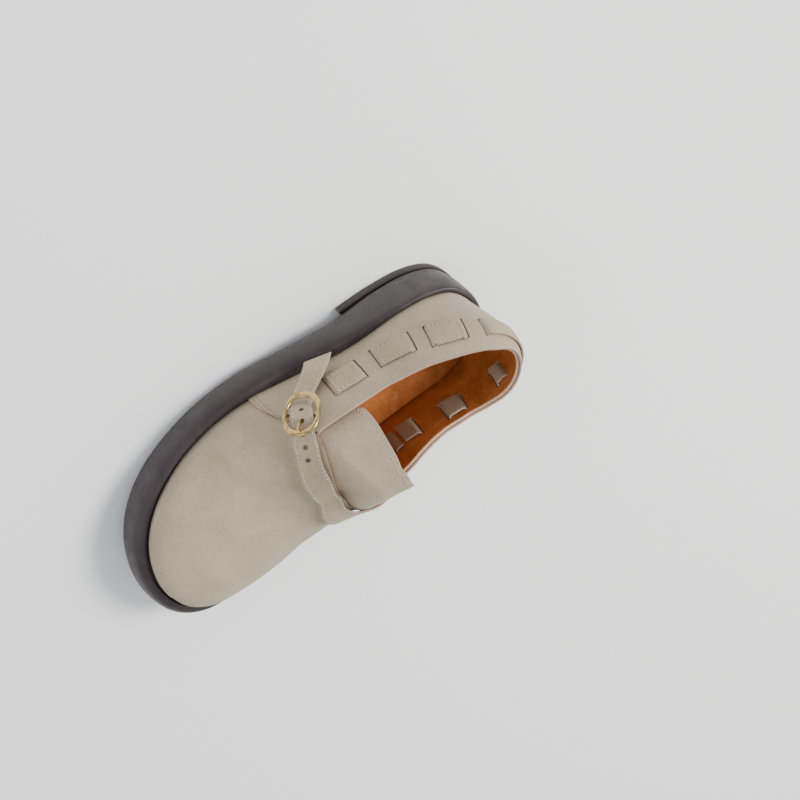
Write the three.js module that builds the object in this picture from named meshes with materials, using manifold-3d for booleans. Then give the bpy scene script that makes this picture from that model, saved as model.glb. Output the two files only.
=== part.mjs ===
// A suede platform shoe for the right foot, with a puffed rubber sole, a strap woven round the heel
// and a buckled strap over the instep.
// Millimetres, +Z up, toe towards +Y, outer side of the foot towards +X, floor at Z = 0.
import * as THREE from "three";
import { mergeVertices } from "three/addons/utils/BufferGeometryUtils.js";
import Module from "manifold-3d";

const wasm = await Module();
wasm.setup();

// Driving sizes of the last
const lastLength = 252;
const lastWidth = 98;
const coneHeight = 80;
const platformHeight = 21.2;
const heelRise = 14.8;
const toeRise = 11.6;

// Walls, and the gap between one piece and the next
const upperWall = 1.8;
const quarterWall = 1.2;
const tongueWall = 1.6;
const strapWall = 1.2;
const gap = 0.3;

// Sole and heel
const soleOverhang = 10;
const soleLip = 2;
const grooveWidth = 0.8;
const heelLiftHeight = 6.4;
const heelLiftLength = 61.5;
const toeSpring = 8;
const insoleThickness = 2.6;

// Buckle
const buckleLength = 27.5;
const buckleWidth = 23.5;
const buckleRod = 2.7;
const barRod = 2.2;
const prongRod = 1.6;
const strapHole = 3.4;
const holeSpacing = 7.5;

// How far the tongue's inner edge and the front strap's free end stand up
const tongueLift = 8.3;
const strapLift = 8;

// Faces of the layers, measured out from the surface of the last: the vamp's own outer face is the lowest
const upperOuter = -0.9;
const upperInner = upperOuter - upperWall;
const quarterInner = upperOuter + gap;
const quarterOuter = quarterInner + quarterWall;
const strapUnder = quarterOuter + 1.5 * gap;
const liningSide = upperInner - 2 * gap;
const tongueOuter = upperInner - 4.5 * gap;
const tongueInner = tongueOuter - tongueWall;

// Footprint of the last, half width at each share of its length. The toe tip lies inside the middle line.
const footprint = [
  { at: 0.0, outer: 0.0, inner: 0.0 },
  { at: 0.02, outer: 0.153, inner: 0.153 },
  { at: 0.07, outer: 0.245, inner: 0.251 },
  { at: 0.15, outer: 0.306, inner: 0.3 },
  { at: 0.28, outer: 0.334, inner: 0.288 },
  { at: 0.42, outer: 0.41, inner: 0.298 },
  { at: 0.55, outer: 0.505, inner: 0.362 },
  { at: 0.66, outer: 0.535, inner: 0.43 },
  { at: 0.78, outer: 0.5, inner: 0.466 },
  { at: 0.88, outer: 0.408, inner: 0.425 },
  { at: 0.95, outer: 0.265, inner: 0.35 },
  { at: 0.99, outer: 0.085, inner: 0.225 },
  { at: 1.0, outer: -0.066, inner: 0.066 },
];

// Cross-sections of the last at shares of its length. heel and toe raise the feather edge over the platform,
// ridge is the height of the instep line over it, bend is 1 for a round section and less for a square one,
// and ridgeAt is where along the last's length it comes, the bulges push each side out over its feather edge, and middle shifts the instep line across.
const sections = [
  { at: 0.0, heel: 1.0, toe: 0.0, ridge: 0.878, ridgeAt: 0.075, bend: 0.63, outerBulge: 0.036, innerBulge: 0.036, middle: -0.009 },
  { at: 0.12, heel: 0.99, toe: 0.0, ridge: 0.97, ridgeAt: 0.19, bend: 0.64, outerBulge: 0.012, innerBulge: 0.008, middle: -0.02 },
  { at: 0.3, heel: 0.63, toe: 0.0, ridge: 0.995, ridgeAt: 0.347, bend: 0.67, outerBulge: -0.012, innerBulge: -0.012, middle: -0.036 },
  { at: 0.46, heel: 0.17, toe: 0.0, ridge: 0.955, ridgeAt: 0.457, bend: 0.8, outerBulge: 0.004, innerBulge: 0.038, middle: -0.047 },
  { at: 0.6, heel: 0.02, toe: 0.0, ridge: 0.69, ridgeAt: 0.554, bend: 0.97, outerBulge: -0.006, innerBulge: 0.056, middle: -0.055 },
  { at: 0.72, heel: 0.0, toe: 0.04, ridge: 0.5, ridgeAt: 0.637, bend: 0.94, outerBulge: 0.015, innerBulge: 0.036, middle: -0.06 },
  { at: 0.86, heel: 0.0, toe: 0.42, ridge: 0.38, ridgeAt: 0.733, bend: 0.9, outerBulge: 0.037, innerBulge: 0.013, middle: -0.067 },
  { at: 1.0, heel: 0.0, toe: 1.0, ridge: 0.25, ridgeAt: 0.83, bend: 0.86, outerBulge: 0.02, innerBulge: 0.01, middle: -0.072 },
];

// Side wall of the sole: how far it stands out, how square its section is, its lip, and its underside
const soleSections = [
  { at: 0.0, out: 0.53, bend: 0.35, lip: 0.4, heel: 1.0, toe: 0.0 },
  { at: 0.12, out: 0.55, bend: 0.38, lip: 0.4, heel: 1.0, toe: 0.0 },
  { at: 0.25, out: 0.85, bend: 0.45, lip: 0.5, heel: 1.0, toe: 0.0 },
  { at: 0.38, out: 1.08, bend: 0.6, lip: 0.7, heel: 0.62, toe: 0.0 },
  { at: 0.52, out: 0.95, bend: 0.75, lip: 0.9, heel: 0.06, toe: 0.0 },
  { at: 0.58, out: 0.86, bend: 0.8, lip: 1.0, heel: 0.0, toe: 0.0 },
  { at: 0.79, out: 0.8, bend: 0.8, lip: 1.0, heel: 0.0, toe: 0.0 },
  { at: 0.9, out: 0.9, bend: 0.82, lip: 1.0, heel: 0.0, toe: 0.36 },
  { at: 1.0, out: 0.97, bend: 0.85, lip: 1.0, heel: 0.0, toe: 1.0 },
];

// Top line of the upper, as an angle up the side: 0 at the feather edge and 90 on the instep line.
// From the throat corner on, it is the edge of the vamp, which crosses the instep.
const collar = [
  { at: 0.0, outer: 60, inner: 60 },
  { at: 0.02, outer: 60.3, inner: 58 },
  { at: 0.05, outer: 60.5, inner: 54 },
  { at: 0.09, outer: 53.5, inner: 47.5 },
  { at: 0.13, outer: 45.5, inner: 38.5 },
  { at: 0.17, outer: 38.5, inner: 30.5 },
  { at: 0.21, outer: 32.5, inner: 26.2 },
  { at: 0.25, outer: 28.5, inner: 25.8 },
  { at: 0.29, outer: 26.5, inner: 27.4 },
  { at: 0.33, outer: 28, inner: 31 },
  { at: 0.36, outer: 30.5, inner: 35 },
  { at: 0.41, outer: 35, inner: 39 },
  { at: 0.455, outer: 39.5, inner: 41 },
  { at: 0.472, outer: 52, inner: 42 },
  { at: 0.494, outer: 64.5, inner: 43.5 },
  { at: 0.512, outer: 73.5, inner: 48.5 },
  { at: 0.529, outer: 81.5, inner: 60 },
  { at: 0.539, outer: 86, inner: 75 },
  { at: 0.544, outer: 90, inner: 90 },
  { at: 1.0, outer: 90, inner: 90 },
];

// Front edge of the quarter: station along the half outline at shares of its height
const quarterFront = [
  { up: 0.0, outer: 0.513, inner: 0.495 },
  { up: 0.2, outer: 0.51, inner: 0.499 },
  { up: 0.4, outer: 0.501, inner: 0.503 },
  { up: 0.65, outer: 0.478, inner: 0.503 },
  { up: 0.85, outer: 0.464, inner: 0.494 },
  { up: 1.0, outer: 0.455, inner: 0.47 },
];

// Tongue from its outer edge to its inner edge: girth angle (over 90 is the inner side), the stations of its
// free rear edge and of its hidden front edge, and how far towards its curled inner edge it is raised
const tongueRows = [
  { angle: 27, rear: 0.4, front: 0.5, curl: 0 },
  { angle: 28.5, rear: 0.36, front: 0.515, curl: 0 },
  { angle: 32.6, rear: 0.346, front: 0.53, curl: 0 },
  { angle: 42, rear: 0.345, front: 0.55, curl: 0 },
  { angle: 64, rear: 0.35, front: 0.57, curl: 0 },
  { angle: 84, rear: 0.354, front: 0.57, curl: 0 },
  { angle: 94, rear: 0.365, front: 0.57, curl: 0.23 },
  { angle: 105, rear: 0.379, front: 0.57, curl: 0.73 },
  { angle: 114, rear: 0.385, front: 0.56, curl: 0.98 },
  { angle: 118, rear: 0.397, front: 0.55, curl: 1 },
];

// Height of the tongue's curled inner edge, as shares of tongueLift at stations towards the throat
const tongueCurl = [
  { at: 0.36, share: 1 },
  { at: 0.4, share: 0.84 },
  { at: 0.44, share: 0.66 },
  { at: 0.475, share: 0.48 },
  { at: 0.495, share: 0.2 },
  { at: 0.512, share: -0.05 },
  { at: 0.53, share: -0.12 },
  { at: 1, share: -0.12 },
];

// Woven strap from the slot under the buckle, round the heel, to the slot on the inner side. Each row is one
// slot or the middle of the back, with the station and girth angle of the strap's lower and upper edge.
// half is 1 on the outer half and -1 on the inner half. The strap changes between outside and lining at a slot.
const wovenRows = [
  { low: 0.412, lowAngle: 9, high: 0.414, highAngle: 22, half: 1, slot: true },
  { low: 0.373, lowAngle: 6.4, high: 0.375, highAngle: 19, half: 1, slot: true },
  { low: 0.304, lowAngle: 4.4, high: 0.305, highAngle: 15.5, half: 1, slot: true },
  { low: 0.266, lowAngle: 4.1, high: 0.271, highAngle: 15, half: 1, slot: true },
  { low: 0.191, lowAngle: 7.5, high: 0.202, highAngle: 19.5, half: 1, slot: true },
  { low: 0.159, lowAngle: 10, high: 0.173, highAngle: 25, half: 1, slot: true },
  { low: 0.097, lowAngle: 19, high: 0.109, highAngle: 35.3, half: 1, slot: true },
  { low: 0.067, lowAngle: 25.3, high: 0.073, highAngle: 42.3, half: 1, slot: true },
  { low: 0.0, lowAngle: 28.5, high: 0.0, highAngle: 46.5, half: 1, slot: false },
  { low: 0.09, lowAngle: 18, high: 0.093, highAngle: 33.5, half: -1, slot: true },
  { low: 0.118, lowAngle: 15.5, high: 0.125, highAngle: 30.5, half: -1, slot: true },
  { low: 0.198, lowAngle: 9.5, high: 0.205, highAngle: 22, half: -1, slot: true },
  { low: 0.245, lowAngle: 8, high: 0.247, highAngle: 21.5, half: -1, slot: true },
  { low: 0.305, lowAngle: 5.5, high: 0.307, highAngle: 18, half: -1, slot: true },
  { low: 0.344, lowAngle: 5.2, high: 0.344, highAngle: 17.6, half: -1, slot: false },
];

// Front strap from inside its slot on the inner side, over the instep, through the buckle, to its slanted end.
// low is its edge towards the toe, angles over 90 are on the inner side, and lift raises its underside by a share of strapLift.
const frontRows = [
  { low: 0.352, lowAngle: 174.5, high: 0.352, highAngle: 161, lift: 0 },
  { low: 0.376, lowAngle: 174, high: 0.374, highAngle: 160.5, lift: 0, slot: true },
  { low: 0.43, lowAngle: 160, high: 0.414, highAngle: 146, lift: 0 },
  { low: 0.49, lowAngle: 145, high: 0.456, highAngle: 134, lift: 0 },
  { low: 0.56, lowAngle: 131, high: 0.505, highAngle: 124, lift: 0 },
  { low: 0.604, lowAngle: 119, high: 0.54, highAngle: 113, lift: 0 },
  { low: 0.616, lowAngle: 106, high: 0.552, highAngle: 101, lift: 0 },
  { low: 0.612, lowAngle: 92, high: 0.548, highAngle: 88, lift: 0 },
  { low: 0.59, lowAngle: 76, high: 0.523, highAngle: 74, lift: 0 },
  { low: 0.554, lowAngle: 60, high: 0.498, highAngle: 58, lift: 0 },
  { low: 0.528, lowAngle: 48, high: 0.474, highAngle: 46, lift: 0 },
  { low: 0.504, lowAngle: 36, high: 0.463, highAngle: 39, lift: 0.08 },
  { low: 0.477, lowAngle: 24, high: 0.44, highAngle: 28.2, lift: 0.65, bar: true },
  { low: 0.452, lowAngle: 13.2, high: 0.417, highAngle: 17.5, lift: 0.25 },
  { low: 0.411, lowAngle: 5.2, high: 0.373, highAngle: 8.3, lift: 0.6 },
  { low: 0.387, lowAngle: 1.5, high: 0.331, highAngle: 1.8, lift: 0.95 },
];

// Stations along each half of the outline, closer together at the throat
const stationSpans = [
  { to: 0.36, steps: 16 },
  { to: 0.545, steps: 10 },
  { to: 1, steps: 14 },
];
const upperRows = 7;
const strapStrips = 2;
const strapStep = 6;
const leastDetail = 0.06;

// One named column of a table at any share: smooth, and never beyond the rows it lies between
function column(rows, name, share, key = "at") {
  const last = rows.length - 1;
  const x = Math.min(Math.max(share, rows[0][key]), rows[last][key]);
  let i = 0;
  while (i < last - 1 && x >= rows[i + 1][key]) i++;
  const span = (j) => rows[j + 1][key] - rows[j][key];
  const slope = (j) => (rows[j + 1][name] - rows[j][name]) / span(j);
  const tangent = (j) => {
    if (j === 0) return slope(0);
    if (j === last) return slope(last - 1);
    if (slope(j - 1) * slope(j) <= 0) return 0;
    const before = 2 * span(j) + span(j - 1);
    const after = span(j) + 2 * span(j - 1);
    return (before + after) / (before / slope(j - 1) + after / slope(j));
  };
  const t = (x - rows[i][key]) / span(i);
  const fromStart = rows[i][name] * (1 + 2 * t) * (1 - t) ** 2 + tangent(i) * span(i) * t * (1 - t) ** 2;
  const fromEnd = rows[i + 1][name] * t * t * (3 - 2 * t) + tangent(i + 1) * span(i) * t * t * (t - 1);
  return fromStart + fromEnd;
}

// The two halves of the outline from heel to toe, each as points with their share of its own length
function measured(points) {
  let length = 0;
  const walked = points.map((point, i) => {
    length += i ? point.distanceTo(points[i - 1]) : 0;
    return { x: point.x, y: point.y, run: length };
  });
  return { length, points: walked.map((p) => ({ x: p.x, y: p.y, share: p.run / length })) };
}

function halfOutlines() {
  const place = (side, half, at) => new THREE.Vector3(side * half * lastWidth, at * lastLength, 0);
  const corners = [
    ...footprint.map((row) => place(1, row.outer, row.at)),
    ...footprint.slice(1, -1).reverse().map((row) => place(-1, row.inner, row.at)),
  ];
  const curve = new THREE.CatmullRomCurve3(corners, true, "centripetal");
  const count = corners.length * 24;
  const around = Array.from({ length: count + 1 }, (_, i) => curve.getPoint(i / count));
  const tip = around.reduce((best, point, i) => (point.y > around[best].y ? i : best), 0);
  return { outer: measured(around.slice(0, tip + 1)), inner: measured(around.slice(tip).reverse()) };
}
const halves = halfOutlines();
const halfLength = (halves.outer.length + halves.inner.length) / 2;

// A point of the outline at a station from 0 at the heel to 1 at the toe. side is 1 outer, -1 inner.
function planPoint(side, station) {
  if (station < 0) return planPoint(-side, -station);
  if (station > 1) return planPoint(-side, 2 - station);
  const points = (side > 0 ? halves.outer : halves.inner).points;
  let i = 1;
  while (i < points.length - 1 && points[i].share < station) i++;
  const [a, b] = [points[i - 1], points[i]];
  const t = (station - a.share) / (b.share - a.share);
  return { x: a.x + (b.x - a.x) * t, y: a.y + (b.y - a.y) * t };
}

function outward(side, station) {
  const reach = 0.004;
  const before = planPoint(side, station - reach);
  const after = planPoint(side, station + reach);
  const normal = new THREE.Vector2((after.y - before.y) * side, (before.x - after.x) * side);
  return normal.normalize();
}

const clampShare = (share) => Math.min(Math.max(share, 0), 1);
const lengthShare = (point) => clampShare(point.y / lastLength);
const featherHeight = (share) =>
  platformHeight + heelRise * column(sections, "heel", share) + toeRise * column(sections, "toe", share);
const ridgeHeight = (share) => featherHeight(share) + coneHeight * column(sections, "ridge", share);
const ridgeLength = (share) => column(sections, "ridgeAt", share) * lastLength;

// The instep line at a station, raised by an offset measured square to its slope
function ridgePoint(station, offset) {
  const share = clampShare((planPoint(1, station).y + planPoint(-1, station).y) / 2 / lastLength);
  const [before, after] = [clampShare(share - 0.001), clampShare(share + 0.001)];
  const slope = (ridgeHeight(after) - ridgeHeight(before)) / (ridgeLength(after) - ridgeLength(before));
  return {
    x: column(sections, "middle", share) * lastWidth,
    y: ridgeLength(share),
    z: ridgeHeight(share) + offset * Math.hypot(1, slope),
  };
}

// A point of the last's surface: angle 0 at the feather edge, 90 on the instep line, offset outwards
function skin(side, station, angle, offset) {
  const edge = planPoint(side, station);
  const out = outward(side, station);
  const share = lengthShare(edge);
  const top = ridgePoint(station, offset);
  const bend = column(sections, "bend", share);
  const radians = THREE.MathUtils.degToRad(angle);
  const away = angle >= 90 ? 1 : 1 - Math.cos(radians) ** bend;
  const bulge = column(sections, side > 0 ? "outerBulge" : "innerBulge", share) * lastWidth;
  const push = 1.3 * bulge * Math.sin(2 * radians) * Math.cos(radians);
  const foot = { x: edge.x + out.x * offset, y: edge.y + out.y * offset, z: featherHeight(share) };
  return new THREE.Vector3(
    foot.x + (top.x - foot.x) * away + out.x * push,
    foot.y + (top.y - foot.y) * away + out.y * push,
    foot.z + (top.z - foot.z) * Math.sin(radians) ** bend,
  );
}
// The same with an angle over 90 on the inner side, and with a station below 0 on the inner side
const overInstep = (station, angle, offset) =>
  angle <= 90 ? skin(1, station, angle, offset) : skin(-1, station, 180 - angle, offset);
const roundHeel = (station, angle, offset) => skin(station < 0 ? -1 : 1, Math.abs(station), angle, offset);

// Triangles to a closed solid with its faces out
function addQuad(corners, a, b, c, d) {
  corners.push(a, b, c, a, c, d);
}

function solidOf(geometry) {
  const bare = geometry.clone();
  bare.deleteAttribute("normal");
  bare.deleteAttribute("uv");
  const merged = mergeVertices(bare, 1e-4);
  const index = merged.index.array;
  const kept = [];
  for (let i = 0; i < index.length; i += 3) {
    const [a, b, c] = [index[i], index[i + 1], index[i + 2]];
    if (a !== b && b !== c && a !== c) kept.push(a, b, c);
  }
  const build = (triangles) =>
    new wasm.Manifold(
      new wasm.Mesh({
        numProp: 3,
        vertProperties: merged.getAttribute("position").array,
        triVerts: new Uint32Array(triangles),
      }),
    );
  const solid = build(kept);
  return solid.volume() > 0 ? solid : build(kept.reverse());
}

function solidOfCorners(corners) {
  const numbers = corners.flatMap((point) => [point.x, point.y, point.z]);
  return solidOf(new THREE.BufferGeometry().setAttribute("position", new THREE.Float32BufferAttribute(numbers, 3)));
}

// A wall between two grids of points. A loop joins its last column to its first, and openTop says where the
// upper edges are free.
function wallSolid(outer, inner, loop = false, openTop = () => true) {
  const corners = [];
  const count = outer.length;
  const top = outer[0].length - 1;
  for (let i = 0; i < (loop ? count : count - 1); i++) {
    const j = (i + 1) % count;
    for (let k = 0; k < top; k++) {
      addQuad(corners, outer[i][k], outer[j][k], outer[j][k + 1], outer[i][k + 1]);
      addQuad(corners, inner[i][k], inner[i][k + 1], inner[j][k + 1], inner[j][k]);
    }
    addQuad(corners, inner[i][0], inner[j][0], outer[j][0], outer[i][0]);
    if (openTop(i, j)) addQuad(corners, outer[i][top], outer[j][top], inner[j][top], inner[i][top]);
  }
  for (let k = 0; k < top && !loop; k++) {
    const end = count - 1;
    addQuad(corners, inner[0][k], outer[0][k], outer[0][k + 1], inner[0][k + 1]);
    addQuad(corners, outer[end][k], inner[end][k], inner[end][k + 1], outer[end][k + 1]);
  }
  return solidOfCorners(corners);
}

// A solid of rings of points. Its flat ends are strips from each outer point to its partner on the inner side.
function ringSolid(rings) {
  const corners = [];
  const count = rings[0].length;
  for (let r = 0; r < rings.length - 1; r++)
    for (let i = 0; i < count; i++) {
      const j = (i + 1) % count;
      addQuad(corners, rings[r][i], rings[r][j], rings[r + 1][j], rings[r + 1][i]);
    }
  const [bottom, top] = [rings[0], rings[rings.length - 1]];
  for (let i = 0; i < Math.floor(count / 2); i++) {
    const partner = (count - i) % count;
    addQuad(corners, bottom[i + 1], bottom[i], bottom[partner], bottom[count - i - 1]);
    addQuad(corners, top[i], top[i + 1], top[count - i - 1], top[partner]);
  }
  return solidOfCorners(corners);
}

const steps = (count) => Array.from({ length: count + 1 }, (_, i) => i / count);
const mix = (a, b, t) => a + (b - a) * t;

function stationList() {
  let from = 0;
  const list = [0];
  for (const span of stationSpans) {
    for (let i = 1; i <= span.steps; i++) list.push(mix(from, span.to, i / span.steps));
    from = span.to;
  }
  return list;
}
const stations = stationList();
const around = [
  ...stations.map((station) => ({ side: 1, station })),
  ...stations.slice(1, -1).reverse().map((station) => ({ side: -1, station })),
];

// A ring of the sole or insole: offset from the feather edge and height, from functions of the share of length
function levelRing(offsetAt, heightAt) {
  return around.map(({ side, station }) => {
    const edge = planPoint(side, station);
    const out = outward(side, station);
    const share = lengthShare(edge);
    const offset = offsetAt(share);
    return new THREE.Vector3(edge.x + out.x * offset, edge.y + out.y * offset, heightAt(share));
  });
}

const soleOut = (share) => soleOverhang * column(soleSections, "out", share);
const soleTop = (share) => featherHeight(share) + soleLip * column(soleSections, "lip", share);
const soleUnder = (share) =>
  (heelLiftHeight + gap) * column(soleSections, "heel", share) + toeSpring * column(soleSections, "toe", share);

function makeSole() {
  const shoulder = grooveWidth + 0.4;
  const wallAngles = [-90, -68, -46, -23, 0, 23, 46, 68, 90];
  const rings = wallAngles.map((angle) => {
    const radians = THREE.MathUtils.degToRad(angle);
    const lean = (share) => Math.abs(Math.cos(radians)) ** column(soleSections, "bend", share);
    const rise = Math.sign(angle) * Math.abs(Math.sin(radians)) ** 0.9;
    return levelRing(
      (share) => mix(shoulder, soleOut(share), Math.abs(angle) === 90 ? 0 : lean(share)),
      (share) => mix(soleUnder(share), soleTop(share), (1 + rise) / 2),
    );
  });
  rings.push(levelRing(() => grooveWidth, (share) => featherHeight(share) - gap));
  return ringSolid(rings);
}

function makeHeelLift() {
  const flush = 0.3;
  const chamfer = 0.8;
  const reach = (side, station) => {
    const edge = planPoint(side, station);
    return edge.y + outward(side, station).y * soleOut(lengthShare(edge));
  };
  const frontStation = (side) => {
    let [low, high] = [0, 0.5];
    for (let i = 0; i < 40; i++) {
      const middle = (low + high) / 2;
      if (reach(side, middle) < heelLiftLength) low = middle;
      else high = middle;
    }
    return low;
  };
  const columns = 14;
  const outline = (inset, height) => {
    const half = (side) =>
      steps(columns).map((t) => {
        const station = frontStation(side) * t;
        const edge = planPoint(side, station);
        const out = outward(side, station);
        const offset = soleOut(lengthShare(edge)) - inset;
        const y = t === 1 ? heelLiftLength : edge.y + out.y * offset;
        return new THREE.Vector3(edge.x + out.x * offset, y, height);
      });
    return [...half(1), ...half(-1).slice(1).reverse()];
  };
  return ringSolid([outline(flush + chamfer, 0), outline(flush, chamfer), outline(flush, heelLiftHeight)]);
}

function makeInsole() {
  const edge = upperInner - 2 * gap;
  return ringSolid([
    levelRing(() => edge - gap, featherHeight),
    levelRing(() => edge, (share) => featherHeight(share) + insoleThickness / 2),
    levelRing(() => edge - 1, (share) => featherHeight(share) + insoleThickness),
  ]);
}

function topLine(side, station) {
  const angle = column(collar, side > 0 ? "outer" : "inner", station);
  return angle > 89.9 ? 90 : angle;
}

// One wall through the columns of a layer, from the feather edge to its top line
function layerGrid(columns, rows, offset) {
  return columns.map(({ side, stationAt }) =>
    steps(rows).map((up) => {
      const top = topLine(side, stationAt(1));
      return skin(side, stationAt(up), top * up, offset);
    }),
  );
}

function makeUpper() {
  const columns = around.map(({ side, station }) => ({ side, stationAt: () => station }));
  const atRidge = (i) => topLine(around[i].side, around[i].station) > 89.9;
  return wallSolid(
    layerGrid(columns, upperRows, upperOuter),
    layerGrid(columns, upperRows, upperInner),
    true,
    (i, j) => !(atRidge(i) && atRidge(j)),
  );
}

function makeQuarter() {
  const sideColumns = (side) => {
    const name = side > 0 ? "outer" : "inner";
    const back = stations.filter((station) => station <= 0.3601).map((station) => ({ side, stationAt: () => station }));
    const from = back[back.length - 1].stationAt(0);
    const front = steps(7)
      .slice(1)
      .map((t) => ({ side, stationAt: (up) => mix(from, column(quarterFront, name, up, "up"), t) }));
    return [...back, ...front];
  };
  const columns = [...sideColumns(-1).reverse(), ...sideColumns(1).slice(1)];
  return wallSolid(layerGrid(columns, upperRows, quarterOuter), layerGrid(columns, upperRows, quarterInner));
}

function makeTongue() {
  const [first, last] = [tongueRows[0].angle, tongueRows[tongueRows.length - 1].angle];
  const grid = (offset) =>
    steps(18).map((t) => {
      const angle = mix(first, last, t);
      const rear = column(tongueRows, "rear", angle, "angle");
      const front = column(tongueRows, "front", angle, "angle");
      const curl = column(tongueRows, "curl", angle, "angle") * tongueLift;
      return steps(10).map((along) => {
        const station = mix(rear, front, along);
        return overInstep(station, angle, offset + curl * column(tongueCurl, "share", station));
      });
    });
  return wallSolid(grid(tongueOuter), grid(tongueInner));
}

// A strap is a list of cross-sections along its table. Each face of a section has its shift along the strap
// and its offset from the last.
const faceOf = (shift, offset) => ({ shift, offset });

function strapPoint(strap, place, across, face) {
  const at = (name) => column(strap.rows, name, place, "place");
  const station = mix(at("low"), at("high"), across) + (strap.forward * face.shift) / halfLength;
  return strap.surface(station, mix(at("lowAngle"), at("highAngle"), across), face.offset);
}

function strapSolid(strap) {
  const outerFaces = (place) => {
    const under = strapUnder + column(strap.rows, "lift", place, "place") * strapLift;
    return [faceOf(0, under + strapWall), faceOf(0, under)];
  };
  const liningFaces = () => [faceOf(0, liningSide), faceOf(0, liningSide - strapWall)];
  const list = [];
  const add = (place, [left, right]) => list.push({ place, left, right });
  let outside = strap.startsOutside;
  strap.rows.forEach((row, i) => {
    const faces = outside ? outerFaces : liningFaces;
    if (i) {
      const length = strapPoint(strap, i, 0.5, faceOf(0, 0)).distanceTo(strapPoint(strap, i - 1, 0.5, faceOf(0, 0)));
      const count = Math.max(2, Math.round(length / strapStep));
      for (let k = 1; k < count; k++) add(i - 1 + k / count, faces(i - 1 + k / count));
    }
    if (!row.slot) {
      add(i, faces(i));
      return;
    }
    const turn = ((outside ? 1 : -1) * strapWall) / 2;
    const mitred = ([left, right]) => [faceOf(turn, left.offset), faceOf(-turn, right.offset)];
    add(i, mitred(faces(i)));
    outside = !outside;
    add(i, mitred((outside ? outerFaces : liningFaces)(i)));
  });
  const grid = (side) =>
    list.map((section) => steps(strapStrips).map((t) => strapPoint(strap, section.place, t, section[side])));
  return wallSolid(grid("left"), grid("right"));
}

// The slot that a strap goes through: its own section there, with room round it, through every layer
function slotCutter(strap, place) {
  const room = 0.35;
  const widen = 0.5;
  const half = strapWall / 2 + room;
  const at = (name) => column(strap.rows, name, place, "place");
  const grid = (offset) =>
    [-half, half].map((shift) =>
      steps(strapStrips).map((t) => {
        const station = mix(at("low"), at("high"), t) + (strap.forward * shift) / halfLength;
        const [low, high] = [at("lowAngle"), at("highAngle")];
        const beyond = Math.sign(high - low) * widen;
        return strap.surface(station, mix(low - beyond, high + beyond, t), offset);
      }),
    );
  return wallSolid(grid(strapUnder + 3), grid(liningSide - 3));
}

const placed = (rows) =>
  rows.map(({ low, high, half = 1, ...row }, place) => ({ lift: 0, ...row, low: half * low, high: half * high, place }));
const wovenStrap = { rows: placed(wovenRows), surface: roundHeel, forward: -1, startsOutside: true };
const frontStrap = { rows: placed(frontRows), surface: overInstep, forward: 1, startsOutside: false };
const slotsOf = (strap) => strap.rows.filter((row) => row.slot).map((row) => slotCutter(strap, row.place));
const slots = [...slotsOf(wovenStrap), ...slotsOf(frontStrap)];
const withSlots = (solid) => slots.reduce((whole, slot) => whole.subtract(slot), solid);

// The buckle's own axes at the bar: along the strap to its free end, across it, and out
const barPlace = frontRows.findIndex((row) => row.bar);
const underFace = (place) => faceOf(0, strapUnder + column(frontStrap.rows, "lift", place, "place") * strapLift);

function buckleAxes() {
  const across = strapPoint(frontStrap, barPlace, 1, faceOf(0, 0))
    .sub(strapPoint(frontStrap, barPlace, 0, faceOf(0, 0)))
    .normalize();
  const along = strapPoint(frontStrap, barPlace + 0.8, 0.5, faceOf(0, 0)).sub(
    strapPoint(frontStrap, barPlace - 0.8, 0.5, faceOf(0, 0)),
  );
  along.addScaledVector(across, -along.dot(across)).normalize();
  const out = new THREE.Vector3().crossVectors(along, across);
  if (out.x < 0) out.negate();
  const under = underFace(barPlace);
  const origin = strapPoint(frontStrap, barPlace, 0.5, under).addScaledVector(out, -under.offset);
  return { origin, along, across, out };
}
const axes = buckleAxes();
const fromBuckle = (along, across, out) =>
  axes.origin
    .clone()
    .addScaledVector(axes.along, along)
    .addScaledVector(axes.across, across)
    .addScaledVector(axes.out, out);
const barOut = strapUnder + strapWall + gap + barRod / 2;
const prongHoleAt = -4.8;
const ringFrontOut = 5.3;
const ringRearOut = 7.6;

// A round rod along a path of points, with a flat end at each end
function rodSolid(path, radius, sides = 8) {
  const rings = path.map((point, i) => {
    const before = path[Math.max(i - 1, 0)];
    const after = path[Math.min(i + 1, path.length - 1)];
    const forward = after.clone().sub(before).normalize();
    const sideways = new THREE.Vector3().crossVectors(forward, axes.out).normalize();
    const up = new THREE.Vector3().crossVectors(sideways, forward);
    return steps(sides)
      .slice(0, -1)
      .map((t) => {
        const turn = 2 * Math.PI * t;
        return point
          .clone()
          .addScaledVector(sideways, radius * Math.cos(turn))
          .addScaledVector(up, radius * Math.sin(turn));
      });
  });
  return ringSolid(rings);
}

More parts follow.
